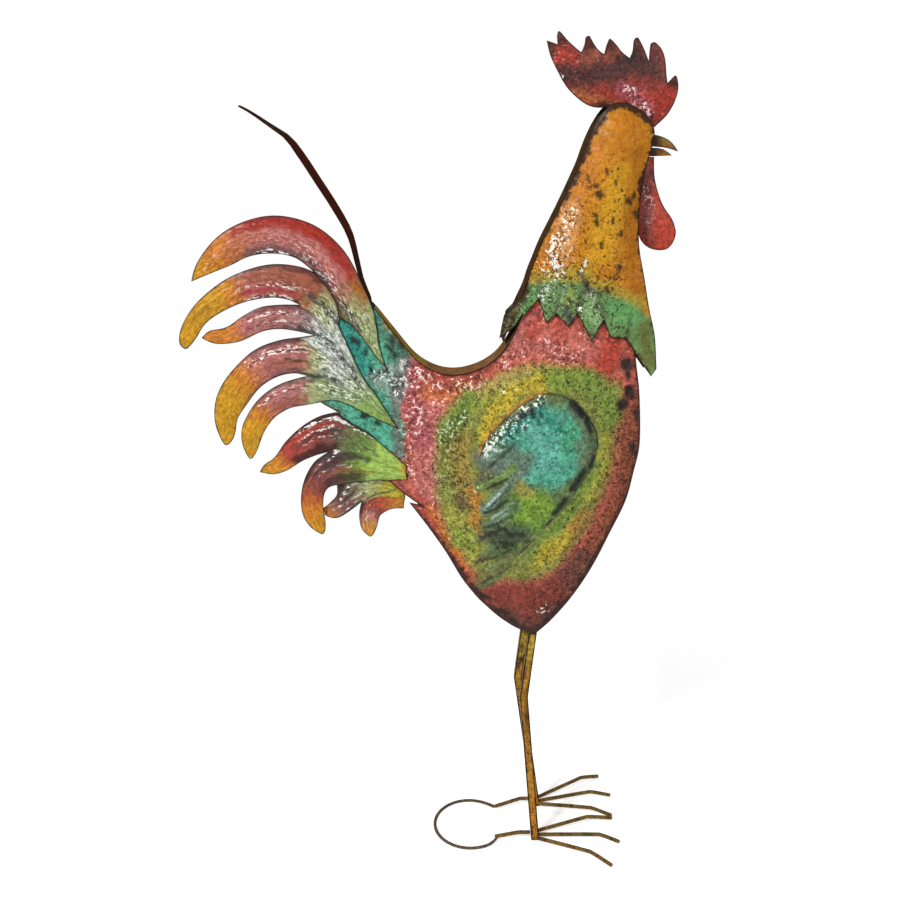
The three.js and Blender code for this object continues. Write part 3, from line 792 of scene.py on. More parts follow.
# %% The wing
NEAR, FAR = -1, 1
LOBE_TIPS = [(29, 472), (35, 444), (35, 414), (31, 379)]
LOBE_NOTCHES = [(53, 480), (51, 441), (53, 417), (56, 391)]
WING = [(33, 342), (50, 349), (77, 376), (100, 405), (129, 439), (152, 477), (162, 493), (168, 509), (171, 524),
        (170, 537), (165, 549), (158, 559), (150, 570), (140, 579), (128, 585), (113, 587), (98, 583), (85, 575),
        (72, 565), (61, 554), (49, 541), (39, 525), (30, 494)]
WING += [spot for pair in zip(LOBE_TIPS, LOBE_NOTCHES) for spot in pair]
PLUMES = [[(x, z), (x + 22, z + 13), (x + 44, z + 32 - 2 * i)] for i, (x, z) in enumerate(LOBE_NOTCHES)]
WING_CREASE = [(139, 453), (113, 424), (86, 395), (66, 366)]
# The wing's feathers, from the top one down: their bodies, the lit lines along them, the dark ones below.
LOBE_STROKES = [
    ((0.12, 0.17, 0.13), [(36, 510), (58, 503), (80, 498)], 10, 0.9),
    (BLACK, [(46, 503), (60, 516), (74, 529)], 2.4, 0.7),
    ((0.22, 0.31, 0.28), [(42, 510), (52, 523), (62, 534)], 1.7, 0.6),
    ((0.16, 0.10, 0.06), [(34, 486), (42, 494)], 6, 0.5),
    ((0.16, 0.26, 0.06), [(33, 474), (51, 486), (74, 500)], 4.6, 0.9),
    (BLACK, [(43, 473), (55, 480), (67, 487)], 2.0, 0.85),
    ((0.28, 0.38, 0.17), [(37, 477), (52, 488), (66, 495)], 1.2, 0.6),
    ((0.10, 0.16, 0.11), [(40, 447), (54, 462), (70, 482)], 6, 0.85),
    (LOBE_HIGHLIGHT, [(45, 455), (55, 467), (65, 480)], 1.5, 0.85), (LOBE_HIGHLIGHT, [(39, 448), (49, 459), (58, 470)], 1.1, 0.7),
    (BLACK, [(50, 456), (60, 467), (70, 479)], 1.0, 0.6), (BLACK, [(40, 443), (52, 449), (67, 461)], 2.0, 0.8),
    ((0.08, 0.14, 0.07), [(42, 426), (58, 440), (76, 453)], 6, 0.85),
    (LOBE_HIGHLIGHT, [(48, 436), (61, 447), (74, 457)], 1.2, 0.7), (LOBE_HIGHLIGHT, [(55, 434), (66, 443)], 1.0, 0.5),
    (BLACK, [(40, 424), (55, 430), (72, 441)], 2.0, 0.75),
    ((0.055, 0.085, 0.045), [(40, 412), (62, 418), (88, 420)], 8, 0.85),
    ((0.035, 0.02, 0.02), [(35, 412), (46, 417), (54, 418)], 3.4, 0.9),
    (BLACK, [(56, 426), (70, 417), (86, 416)], 3.0, 0.8), (BLACK, [(60, 408), (78, 404), (93, 409)], 2.6, 0.7),
    ((0.11, 0.17, 0.05), [(34, 380), (52, 389), (82, 402)], 5, 0.8),
    ((0.055, 0.03, 0.02), [(32, 378), (45, 384)], 3.0, 0.85), (BLACK, [(48, 383), (62, 391), (78, 401)], 1.8, 0.7),
    (BLACK, [(60, 364), (70, 373), (80, 384)], 1.8, 0.75), (BLACK, [(38, 350), (50, 360)], 2.0, 0.5),
    ((0.20, 0.27, 0.09), [(44, 368), (58, 378)], 3, 0.6)
]
LOBE_RIDGES = [path for colour, path, width, strength in LOBE_STROKES if colour == LOBE_HIGHLIGHT]
print("wing:", len(WING), "corners,", len(LOBE_STROKES), "feather strokes")


# %% Pressing the body
def valley(flat, paths, width):
    """1 along the paths, falling to 0 at width to either side."""
    away = np.min([distance_to(flat, path) for path in paths], axis=0)
    return 1 - ease(0, width, away)


def press_body(flat, coords, edge):
    x, z = flat.T
    wing = signed_distance(flat, WING)
    ring = 1 - ease(0, 34, -wing)
    dents = hammered(coords, 8.5 * MM, 1) * (1.0 - 0.62 * ring) * ease(1, 7, edge)
    flutes = (0.5 + 0.5 * np.cos(x / 1.65)) * ease(612, 640, z) * ease(88, 105, x) * ease(216, 196, x)
    shoulder = (1 - ease(0, 2.6, np.abs(wing + 1.5))) * ease(430, 500, z)
    crease = valley(flat, [WING_CREASE], 3.2)
    lobes = valley(flat, PLUMES, 4.5) - 0.5 * valley(flat, LOBE_RIDGES, 2.2)
    return -1.4 * dents - 0.9 * flutes - 0.9 * shoulder - 1.4 * lobes * ease(-8, 0, wing) + 0.8 * crease


# %% [markdown]
# The body's paint goes on as a painter would work: the red border, the olive ring over it, the dark point
# of the breast, the wing, and last the teal tail end. A stroke is what it lays on, its path, how far it
# reaches to each side and how strong it is.

# %% Strokes of the border and the ring
BORDER_STROKES = [
    (PINK, [(-20, 560), (-30, 520), (-25, 470)], 20, 0.7),
    ((0.36, 0.08, 0.10), [(-44, 610), (-42, 570), (-30, 530)], 14, 0.6),
    (PINK, [(60, 640), (110, 645), (150, 638)], 16, 0.5), (RED, [(184, 668), (186, 640), (176, 615)], 11, 0.9),
    (RED, [(96, 694), (92, 655)], 8, 0.7), (RED, [(122, 678), (126, 650)], 6, 0.5),
    ((0.30, 0.10, 0.09), [(60, 640), (80, 660), (96, 680)], 7, 0.5),
    (ORANGE, [(-30, 588), (0, 585), (20, 600)], 7, 0.35),
    (RED, [(-34, 622), (-6, 608), (20, 610), (48, 628)], 6, 0.6),
    (BRICK, [(218, 560), (212, 480), (192, 418), (160, 362)], 16, 0.9),
    ((0.30, 0.05, 0.03), [(214, 470), (204, 430)], 8, 0.6),
    (RED, [(-45, 452), (-18, 408), (12, 362), (40, 330)], 12, 0.7)
]
RING = [(-13, 551), (7, 578), (56, 604), (109, 622), (155, 617), (197, 594), (202, 567), (190, 526), (183, 473),
        (161, 419), (128, 370), (94, 352), (40, 360), (1, 398), (-14, 442), (-19, 499)]
RING_STROKES = [
    (OLIVE, RING, 9, 1, "area"), (YELLOW_GREEN, [(30, 575), (80, 604), (140, 607)], 11, 0.6),
    ((0.36, 0.27, 0.08), [(20, 585), (50, 598), (88, 612)], 8, 0.6),
    (YELLOW, [(40, 538), (50, 566), (76, 590), (104, 601)], 8, 0.9),
    (GREEN, [(-6, 540), (10, 565), (22, 580)], 12, 0.75),
    (GREEN, [(120, 604), (150, 605), (182, 580), (186, 560)], 13, 0.6),
    (YELLOW_GREEN, [(182, 535), (178, 500), (165, 462)], 8, 0.8),
    (GREEN, [(170, 500), (150, 460), (128, 425), (100, 390)], 7, 0.75),
    ((0.30, 0.17, 0.04), [(12, 530), (14, 490), (22, 460)], 13, 0.55),
    (ORANGE, [(26, 470), (32, 455), (26, 432), (40, 420)], 7, 0.6),
    ((0.13, 0.07, 0.04), [(10, 458), (14, 452)], 8, 0.75),
    (YELLOW_GREEN, [(2, 440), (8, 420), (24, 392), (42, 372)], 12, 0.7), (GREEN, [(10, 415), (20, 400)], 8, 0.5),
    (YELLOW, [(104, 396), (142, 420), (150, 405), (122, 378), (98, 368)], 9, 0.8, "area"),
    (ORANGE, [(146, 420), (158, 436)], 8, 0.45), (ORANGE, [(-26, 446), (-4, 402), (20, 368)], 4, 0.6)
]
BREAST_STROKES = [
    ((0.20, 0.12, 0.035), [(194, 548), (190, 500), (172, 450), (142, 392)], 7, 0.5),
    ((0.22, 0.036, 0.024), [(30, 348), (70, 352), (110, 350), (150, 372), (158, 345), (106, 276), (60, 302)],
     9, 0.9, "area"),
    ((0.11, 0.04, 0.03), [(66, 306), (96, 288), (110, 290), (130, 312)], 11, 0.8),
    ((0.12, 0.05, 0.035), [(140, 365), (160, 380), (150, 345)], 12, 0.7)
]

# %% Strokes of the wing
WING_STROKES = [
    ((0.10, 0.15, 0.06), WING, 3.5, 0.95, "area"),
    (TEAL, [(50, 520), (74, 557), (107, 577), (146, 567), (158, 530), (146, 490), (118, 470), (84, 486)], 9, 1, "area"),
    ((0.13, 0.40, 0.33), [(96, 545), (112, 520), (104, 505)], 14, 0.55),
    ((0.05, 0.27, 0.12), [(140, 545), (138, 525)], 9, 0.6), (DEEP_TEAL, [(62, 535), (84, 560), (104, 570)], 6, 0.7),
    ((0.12, 0.17, 0.11), [(50, 500), (64, 520), (84, 510)], 11, 0.8),
    (GREEN, [(66, 474), (112, 472), (128, 450), (104, 418), (78, 420), (66, 448)], 9, 0.9, "area"),
    ((0.17, 0.27, 0.028), [(80, 462), (110, 464), (122, 448), (96, 430), (76, 440)], 8, 0.8, "area"),
    ((0.30, 0.22, 0.04), [(80, 478), (90, 468)], 8, 0.6),
    ((0.05, 0.075, 0.03), [(50, 420), (80, 430), (96, 412), (76, 392), (52, 388)], 8, 0.85, "area"),
    ((0.13, 0.14, 0.04), [(70, 385), (48, 366), (34, 350)], 9, 0.8),
    ((0.09, 0.13, 0.07), [(144, 568), (160, 548), (166, 520), (162, 500)], 8, 0.85),
    ((0.14, 0.13, 0.06), [(150, 530), (152, 508)], 7, 0.5)
]
WING_DASHES = [
    ([(168, 512), (164, 500)], 3.0), ([(156, 494), (143, 474)], 4.6), ([(135, 460), (123, 444)], 4.4),
    ([(141, 577), (152, 563)], 4.4), ([(157, 556), (162, 544)], 3), ([(120, 436), (114, 430)], 1.6),
    ([(100, 410), (84, 394)], 1.2)
]
TEAL_SPOTS = [(92, 564), (99, 558), (84, 551), (77, 545), (103, 567), (70, 540)]
MINT_SPOTS = [(112, 560), (122, 552), (108, 540)]

# %% Strokes of the tail end, bright ridges and spots
TAIL_END = [(-170, 720), (-95, 715), (-78, 690), (-52, 648), (-44, 626), (-53, 610), (-58, 576), (-54, 545),
            (-54, 506), (-80, 520), (-110, 540), (-170, 570)]
TAIL_END_STROKES = [
    (TEAL, TAIL_END, 3, 1, "area"), (DEEP_TEAL, [(-130, 690), (-118, 655), (-100, 610)], 10, 0.95),
    (DEEP_TEAL, [(-96, 690), (-84, 668)], 8, 0.9),
    ((0.07, 0.16, 0.10), [(-76, 660), (-64, 636), (-56, 622)], 9, 0.8),
    ((0.30, 0.22, 0.05), [(-90, 696), (-70, 664), (-50, 640)], 3.5, 0.8),
    (GREY, [(-95, 604), (-76, 616), (-52, 628), (-47, 604), (-60, 570), (-78, 584)], 5, 0.9, "area"),
    ((0.15, 0.11, 0.11), [(-53, 622), (-60, 592), (-63, 560), (-61, 506)], 7, 0.7)
]
TAIL_END_SPOTS = [
    (-68, 648, 6), (-55, 643, 5), (-75, 640, 3), (-66, 635, 4), (-48, 637, 4), (-61, 652, 3), (-111, 647, 4),
    (-99, 634, 3), (-93, 616, 3.5), (-101, 560, 5), (-85, 550, 4), (-108, 668, 3)
]
BODY_RIDGES = [
    ([(-40, 612), (-16, 597), (4, 594), (34, 601)], 9, 0.62), ([(-50, 600), (-38, 570), (-44, 540)], 14, 0.58),
    ([(-52, 530), (-46, 490)], 10, 0.5), ([(-10, 535), (6, 555), (18, 560)], 9, 0.6),
    ([(-20, 575), (-5, 580)], 9, 0.4), ([(42, 518), (53, 534), (78, 562), (106, 581)], 5.5, 0.76),
    ([(52, 524), (66, 542), (84, 556)], 10, 0.5), ([(120, 545), (140, 545)], 6, 0.45),
    ([(108, 640), (140, 632)], 12, 0.5), ([(66, 622), (84, 640)], 12, 0.46),
    ([(-88, 606), (-70, 606), (-64, 590)], 7, 0.74), ([(-56, 620), (-44, 614)], 6, 0.6),
    ([(112, 310), (122, 320)], 8, 0.6), ([(60, 590), (80, 596)], 8, 0.35), ([(30, 470), (44, 486)], 5, 0.5),
    ([(104, 690), (106, 676)], 6, 0.4), ([(150, 656), (152, 640)], 6, 0.45)
]
RIGHT_EDGE_SPOTS = [
    (203, 623, 7.5), (205, 608, 3.5), (209, 589, 7), (201, 573, 6.5), (217, 560, 4), (214, 520, 4)
]
print("body strokes:", len(BORDER_STROKES + RING_STROKES + BREAST_STROKES + WING_STROKES + TAIL_END_STROKES))


# %% Painting the wing
def outline_wing(coat, wing):
    """Bright above the step, black at it, and dashes down the right side. wing is the depth inside it."""
    x, z = coat.flat.T
    upper = ease(500, 530, z)
    coat.put(ORANGE, 0.85 * upper * ease(124, 96, x) * (1 - ease(0.4, 2.0, np.abs(wing + 3.2))))
    coat.put(BLACK, 0.9 * upper * (1 - ease(0.3, 1.7, np.abs(wing + 0.8))))
    coat.put(BLACK, 0.5 * ease(530, 500, z) * ease(140, 150, x) * (1 - ease(0.3, 2.2, np.abs(wing))))
    for path, width in WING_DASHES:
        coat.line(BLACK, path, width, 0.9, crisp=True)
    coat.lay([("patina", [(138, 574), (150, 566), (156, 556)], 7, 0.8),
              ("patina", [(78, 560), (92, 566), (98, 558)], 7, 0.72)])
    # A painted highlight along the raised crease
    coat.line(YELLOW_GREEN, [(141, 452), (114, 423), (87, 394), (66, 366)], 1.1, 0.8, soft=0.9, crisp=True)


def brush_wing(coat, wing):
    coat.lay(WING_STROKES)
    for colour, path, width, strength in LOBE_STROKES:
        fine = width < 3
        reach, soft = (0.9 * width, 0.5 * width) if fine else (width, 0.7 * width)
        coat.line(colour, path, reach, strength, soft=soft, crisp=fine)
    coat.dabs((0.008, 0.05, 0.04), TEAL_SPOTS, (2, -3), 2.6, 0.85)
    coat.dabs((0.01, 0.20, 0.13), MINT_SPOTS, (4, -5), 4, 0.6)
    outline_wing(coat, wing)


# %% Painting the body
def brush_body(piece, coords, edge):
    coat = Coat(coords, CORAL, seed=1)
    x, z = coat.flat.T
    wing = signed_distance(coat.flat, WING)
    coat.lay(BORDER_STROKES + RING_STROKES + BREAST_STROKES)
    brush_wing(coat, wing)
    coat.lay(TAIL_END_STROKES)
    coat.put("speckle", 0.95 * ease(-40, -56, x) * 0.4)
    coat.dabs(BLACK, TAIL_END_SPOTS, (2, -3), 0.85, 0.9)
    coat.lay([("patina", [(-100, 592), (-112, 622), (-118, 640)], 7, 0.6),
              ("patina", [(-100, 540), (-84, 552)], 7, 0.5)])
    # Painted shade, darker towards the outline, below and on the right, where the sheet turns away from the light
    coat.put((0.10, 0.03, 0.02), 0.42 * (1 - ease(0, 13, edge)) * (1 - ease(560, 640, z) * 0.6))
    coat.put((0.08, 0.03, 0.02), 0.30 * ease(420, 300, z))
    # Bare ridges with painted glints, where they catch the light, most on the left and along the top
    coat.lay(("bare", *ridge) for ridge in BODY_RIDGES)
    coat.put("bare", 0.06 + (0.20 * ease(30, -10, x) + 0.12 * ease(600, 640, z)) * ease(-60, -44, x))
    # Specks gather in the ring and outside the wing, and larger spots on the right edge
    ring = ease(-40, 6, signed_distance(coat.brushed, RING))
    coat.put("speckle", 0.16 + 0.5 * ring * ease(8, -14, wing) + 0.25 * ease(0, 20, wing))
    coat.lay([("speckle", [(200, 560), (210, 480), (170, 390), (110, 330)], 26, 0.8),
              ("speckle", [(6, 540), (8, 480), (20, 440)], 16, 0.85)])
    coat.dabs((0.014, 0.012, 0.013), RIGHT_EDGE_SPOTS, (1, -5), 1, 0.95, soft=2.5)
    coat.lay([("patina", [(216, 520), (206, 470)], 9, 0.5), ("patina", [(40, 335), (80, 304), (110, 292)], 9, 0.6),
              ("patina", [(56, 400), (78, 410)], 9, 0.75)])
    coat.put("patina", 0.2)
    # The cut edge is dark and ragged, and most of all low on the left
    ragged = 9 * fine_noise(coords, 9 * MM, 15) * ease(430, 350, z) + 4 * fine_noise(coords, 4 * MM, 16)
    reach = np.interp(z, (285, 350, 420, 560, 640, 700), (9, 7.5, 4, 2.2, 1.2, 0.8)) * ease(-50, -30, x)
    coat.bury((0.022, 0.012, 0.009), 0.9 * (1 - ease(reach - 1.3, reach + 1.3, edge + ragged)))
    coat.store(piece)


for side, word in ((NEAR, "near"), (FAR, "far")):
    panel = pressed_sheet(f"body_panel_{word}", f"{word}_body_side", side, press_body, brush_body)
    finish_piece(panel, [f"body_panel_{word}"], body_paint)

# %% [markdown]
# ## Neck and collar
# The neck is a sheet of its own whose toothed lower edge laps over the body as a collar. It is beaten
# lightly, and short pleats run up from the notches between the teeth. Its top and its two long edges are
# burnt dark with a ragged border. The collar's flap behind the nape is drawn in against the back, where
# the plain solid stands off from it.

# %% Neck shape
PLEATS = [[(98, 698), (101, 716)], [(120, 680), (122, 700)], [(145, 682), (150, 712)], [(174, 672), (166, 702)],
          [(134, 668), (138, 690)], [(203, 652), (205, 676)]]


def press_neck(flat, coords, edge):
    dents = hammered(coords, 7.5 * MM, 5) * ease(1, 6, edge)
    return -0.7 * dents - 1.3 * valley(flat, PLEATS, 5)


def flap_border(x, z):
    return (x < 83) & (z < 701)


def tuck_flap(piece, side):
    """Brings the collar's flap behind the nape down and forward, against the back."""
    for vertex in piece.data.vertices:
        x, z = vertex.co.x / MM + PART_CENTRE[0], vertex.co.z / MM
        if x < 79 and z < 697:
            inner = x > 64 and z < 684
            vertex.co.x += MM * (7 if inner else 5 if side == FAR else 0)
            vertex.co.z -= MM * (5 if side == FAR else 3)


# %% Strokes of the neck
COLLAR = [(40, 718), (86, 713), (121, 719), (147, 716), (173, 706), (210, 692), (224, 676), (260, 655), (250, 590),
          (40, 600)]
NECK_STROKES = [
    (GOLD, [(188, 830), (180, 800), (168, 750)], 17, 0.9), ((0.38, 0.13, 0.008), [(196, 885), (192, 862)], 15, 0.6),
    (AMBER, [(204, 850), (202, 790), (206, 740), (212, 700)], 9, 0.6),
    (ORANGE, [(160, 860), (135, 800), (108, 740)], 9, 0.65),
    ((0.58, 0.30, 0.12), [(134, 792), (122, 745)], 12, 0.6), (YELLOW, [(150, 730), (140, 722)], 12, 0.35),
    (SAGE, COLLAR, 7, 1, "area"), ((0.11, 0.30, 0.08), [(92, 706), (84, 690)], 8, 0.8),
    (MINT, [(108, 705), (126, 702)], 11, 0.75), (MINT, [(152, 700), (164, 672)], 8, 0.7),
    ((0.11, 0.30, 0.10), [(186, 684), (206, 674)], 13, 0.8),
    (YELLOW_GREEN, [(90, 722), (140, 726), (185, 708), (218, 690)], 6, 0.5),
    (YELLOW_GREEN, [(136, 704), (132, 690)], 5, 0.5), ((0.12, 0.12, 0.03), [(222, 660), (230, 622)], 9, 0.85),
    ((0.055, 0.042, 0.02), [(84, 730), (90, 704), (76, 674), (60, 640), (40, 640), (50, 700), (70, 730)], 3, 1, "area"),
    ((0.15, 0.14, 0.06), [(60, 656), (68, 674), (80, 692)], 1.4, 0.8)
]
NECK_STROKES += [((0.07, 0.07, 0.035), path, 3.0, 0.6) for path in PLEATS]
NECK_STROKES += [((0.07, 0.06, 0.045), [(146, 722), (152, 708), (160, 702)], 4, 0.75),
                 ((0.06, 0.065, 0.045), [(136, 672), (130, 682)], 6, 0.75),
                 ((0.07, 0.07, 0.03), [(160, 660), (162, 650)], 4, 0.5)]
NECK_RIDGES = [
    ([(116, 745), (122, 728)], 8, 0.86), ([(102, 736), (108, 724)], 7, 0.6), ([(147, 728), (150, 738)], 4, 0.9),
    ([(134, 790), (124, 762)], 9, 0.66), ([(120, 760), (118, 742)], 9, 0.66), ([(106, 706), (102, 700)], 5, 0.9),
    ([(118, 712), (110, 700)], 8, 0.55), ([(147, 690), (149, 676)], 3, 0.9), ([(160, 700), (166, 690)], 6, 0.5)
]
NECK_SPOTS = [
    (170, 838, 4), (163, 812, 4), (160, 822, 3), (198, 806, 5), (203, 812, 4), (160, 790, 4), (163, 782, 3.5),
    (180, 783, 3.5), (208, 790, 5), (188, 770, 3.5), (186, 733, 5), (152, 830, 3), (183, 825, 3), (168, 758, 3),
    (176, 706, 3)
]
print("neck strokes:", len(NECK_STROKES))


# %% Painting the neck
def brush_neck(piece, coords, edge):
    coat = Coat(coords, OCHRE, seed=11)
    x, z = coat.flat.T
    coat.lay(NECK_STROKES)
    # Bare ridges with painted glints, most low on the left, where the neck catches the light
    coat.lay(("bare", *ridge) for ridge in NECK_RIDGES)
    coat.put("bare", 0.05 + 0.22 * ease(165, 135, x) * ease(810, 760, z))
    coat.put("speckle", 0.2 + 0.42 * ease(866, 820, z) * ease(205, 190, x) + 0.2 * ease(740, 720, z))
    coat.dabs((0.025, 0.016, 0.008), NECK_SPOTS, (1, -3), 0.7, 0.9)
    coat.put("patina", 0.2)
    # How far the burnt border reaches in, from the left edge and from the right one
    ragged = 5 * fine_noise(coords, 8 * MM, 13) + 3 * fine_noise(coords, 3.4 * MM, 14)
    middle = np.interp(z, (640, 750, 850, 900), (155, 160, 182, 190))
    left = np.interp(z, (700, 770, 800, 850, 880, 905), (0, 0.8, 3.4, 4.4, 4.6, 5.5))
    right = np.interp(z, (600, 700, 800, 850, 870, 905), (0.8, 1.2, 2.4, 3, 4.4, 5.5))
    reach = np.where(x < middle, left, right)
    coat.bury((0.022, 0.010, 0.006), 0.95 * (1 - ease(reach - 1.3, reach + 1.3, edge + ragged)))
    coat.store(piece)


for side, word in ((NEAR, "near"), (FAR, "far")):
    neck = pressed_sheet(f"neck_panel_{word}", f"{word}_neck_side", side, press_neck, brush_neck,
                         pinned=flap_border, tuck=tuck_flap)
    finish_piece(neck, [f"neck_panel_{word}"], neck_paint)

# %% [markdown]
# ## Comb, wattle and beak
# The comb and the wattle are flat cut-outs, set on edge in the middle of the head. Seen from the side they
# are a shape and its paint, so they get shallow hammer marks and most of the work goes into the colours.
# The beak is two small horns of thicker metal, so they are bevelled solids and not sheets.

# %% Comb and wattle
COMB_STROKES = [
    (RED, [(115, 965), (132, 950), (145, 936)], 9, 0.7), ((0.26, 0.09, 0.05), [(150, 955), (178, 962)], 8, 0.5),
    (CRIMSON, [(215, 900), (230, 905), (240, 920)], 12, 0.9), (RED, [(150, 910), (185, 915), (215, 912)], 8, 0.75),
    ((0.30, 0.10, 0.03), [(140, 918), (160, 912), (180, 908)], 6, 0.7),
    ((0.38, 0.10, 0.13), [(190, 924), (205, 912), (216, 902)], 9, 0.6),
    ((0.045, 0.026, 0.024), [(126, 937), (150, 937), (175, 940), (196, 951), (218, 945)], 12, 0.85),
    ((0.035, 0.02, 0.015), [(202, 975), (200, 958)], 9, 0.85),
    ((0.09, 0.035, 0.03), [(222, 968), (226, 950), (232, 935)], 7, 0.7)
]
COMB_POINTS = [(117, 980), (150, 975), (172, 972), (247, 935), (107, 970)]
# Along the comb's foot: a dark line, and worn places with painted glints, most at the lower right
COMB_FOOT_STROKES = [
    ((0.05, 0.02, 0.015), [(160, 903), (178, 906), (196, 903), (214, 886)], 3.5, 0.85),
    ("bare", [(196, 922), (206, 910), (216, 902)], 7, 0.62),
    ("bare", [(216, 904), (221, 896), (221, 888)], 4, 0.85), ("bare", [(118, 938), (124, 926)], 6, 0.55)
]
# The wattle's bare strokes are worn metal with painted highlights
WATTLE_STROKES = [
    ((0.30, 0.09, 0.08), [(220, 845), (222, 810), (224, 775)], 7, 0.85),
    ((0.16, 0.045, 0.04), [(222, 768), (230, 760)], 6, 0.7), ("bare", [(222, 815), (224, 798)], 6, 0.5),
    ("bare", [(224, 786), (230, 778)], 6, 0.42)
]


def press_crest(flat, coords, edge):
    return -0.45 * hammered(coords, 5.5 * MM, 7) * ease(0.5, 4, edge)


def brush_comb(piece, coords, edge):
    coat = Coat(coords, (0.23, 0.04, 0.03), seed=21, wobble=5)
    coat.lay(COMB_STROKES)
    coat.dabs((0.05, 0.02, 0.014), COMB_POINTS, (2, -5), 7.5, 0.88)
    coat.lay(COMB_FOOT_STROKES)
    # Worn flecks with painted glints, more towards the left
    coat.put("bare", 0.10 + 0.1 * ease(180, 140, coat.flat[:, 0]))
    coat.put("speckle", 0.42)
    coat.put("patina", 0.25)
    coat.line("patina", [(130, 936), (165, 936), (200, 950)], 12, 0.55)
    coat.store(piece)


def brush_wattle(piece, coords, edge):
    coat = Coat(coords, (0.40, 0.05, 0.028), seed=31, wobble=3)
    coat.lay(WATTLE_STROKES)
    coat.put("bare", 0.08)
    coat.put("speckle", 0.2)
    coat.put("patina", 0.12)
    coat.store(piece)


for node, brush in (("comb", brush_comb), ("wattle", brush_wattle)):
    plate = pressed_sheet(node, f"{node}_plate", NEAR, press_crest, brush)
    finish_piece(plate, [node], crest_paint)

# %% Beak
for node in ("beak_upper", "beak_lower"):
    horn = bevelled(node, f"{node}_horn", 0.8, 0.0)
    coat = Coat(flat_points(horn.data), TAN, seed=35, wobble=2)
    coat.lay([((0.16, 0.13, 0.03), [(230, 872), (240, 866)], 3, 0.7),
              (UMBER, [(221, 880), (224, 862), (221, 848)], 7.5, 0.95),
              (UMBER, [(232, 860), (246, 858), (254, 857)], 1.6, 0.7)])
    coat.put("speckle", 0.3)
    coat.put("patina", 0.35)
    coat.store(horn)
    finish_piece(horn, [node], beak_paint, bend=50)

# %% [markdown]
# ## Tail feathers
# The tail is three fans and a top feather, cut from sheet and grooved along each vane. Their colour could
# be painted with separate strokes, as on the body, but it runs along each feather from tip to root. So
# each feather has a middle line, and every point knows how far along the nearest line it lies, and how far
# to its side as a share of the feather's half width. Colours, stripes and the grain all follow from that.

# %% Along the feathers
def along_lines(flat, lines):
    """For each point: the nearest line's number, the distance from that line's tip, and the side offset."""
    nearest = np.full(len(flat), np.inf)
    which = np.zeros(len(flat), int)
    run = np.zeros(len(flat))
    offset = np.zeros(len(flat))
    for number, line in enumerate(lines):
        travelled = 0.0
        for a, b in zip(np.array(line[:-1], float), np.array(line[1:], float)):
            length = math.hypot(*(b - a))
            ahead = (b - a) / length
            share = np.clip((flat - a) @ ahead, 0, length)
            gap = flat - a - share[:, None] * ahead
            away = np.hypot(*gap.T)
            closer = away < nearest
            nearest = np.where(closer, away, nearest)
            which = np.where(closer, number, which)
            run = np.where(closer, travelled + share, run)
            offset = np.where(closer, np.sign(gap @ np.array([-ahead[1], ahead[0]])) * away, offset)
            travelled += length
    return which, run, offset


def graded(run, stops):
    """The colour at each distance along a feather, from (distance, colour) stops."""
    places = [place for place, _ in stops]
    return np.column_stack([np.interp(run, places, [colour[i] for _, colour in stops]) for i in range(3)])


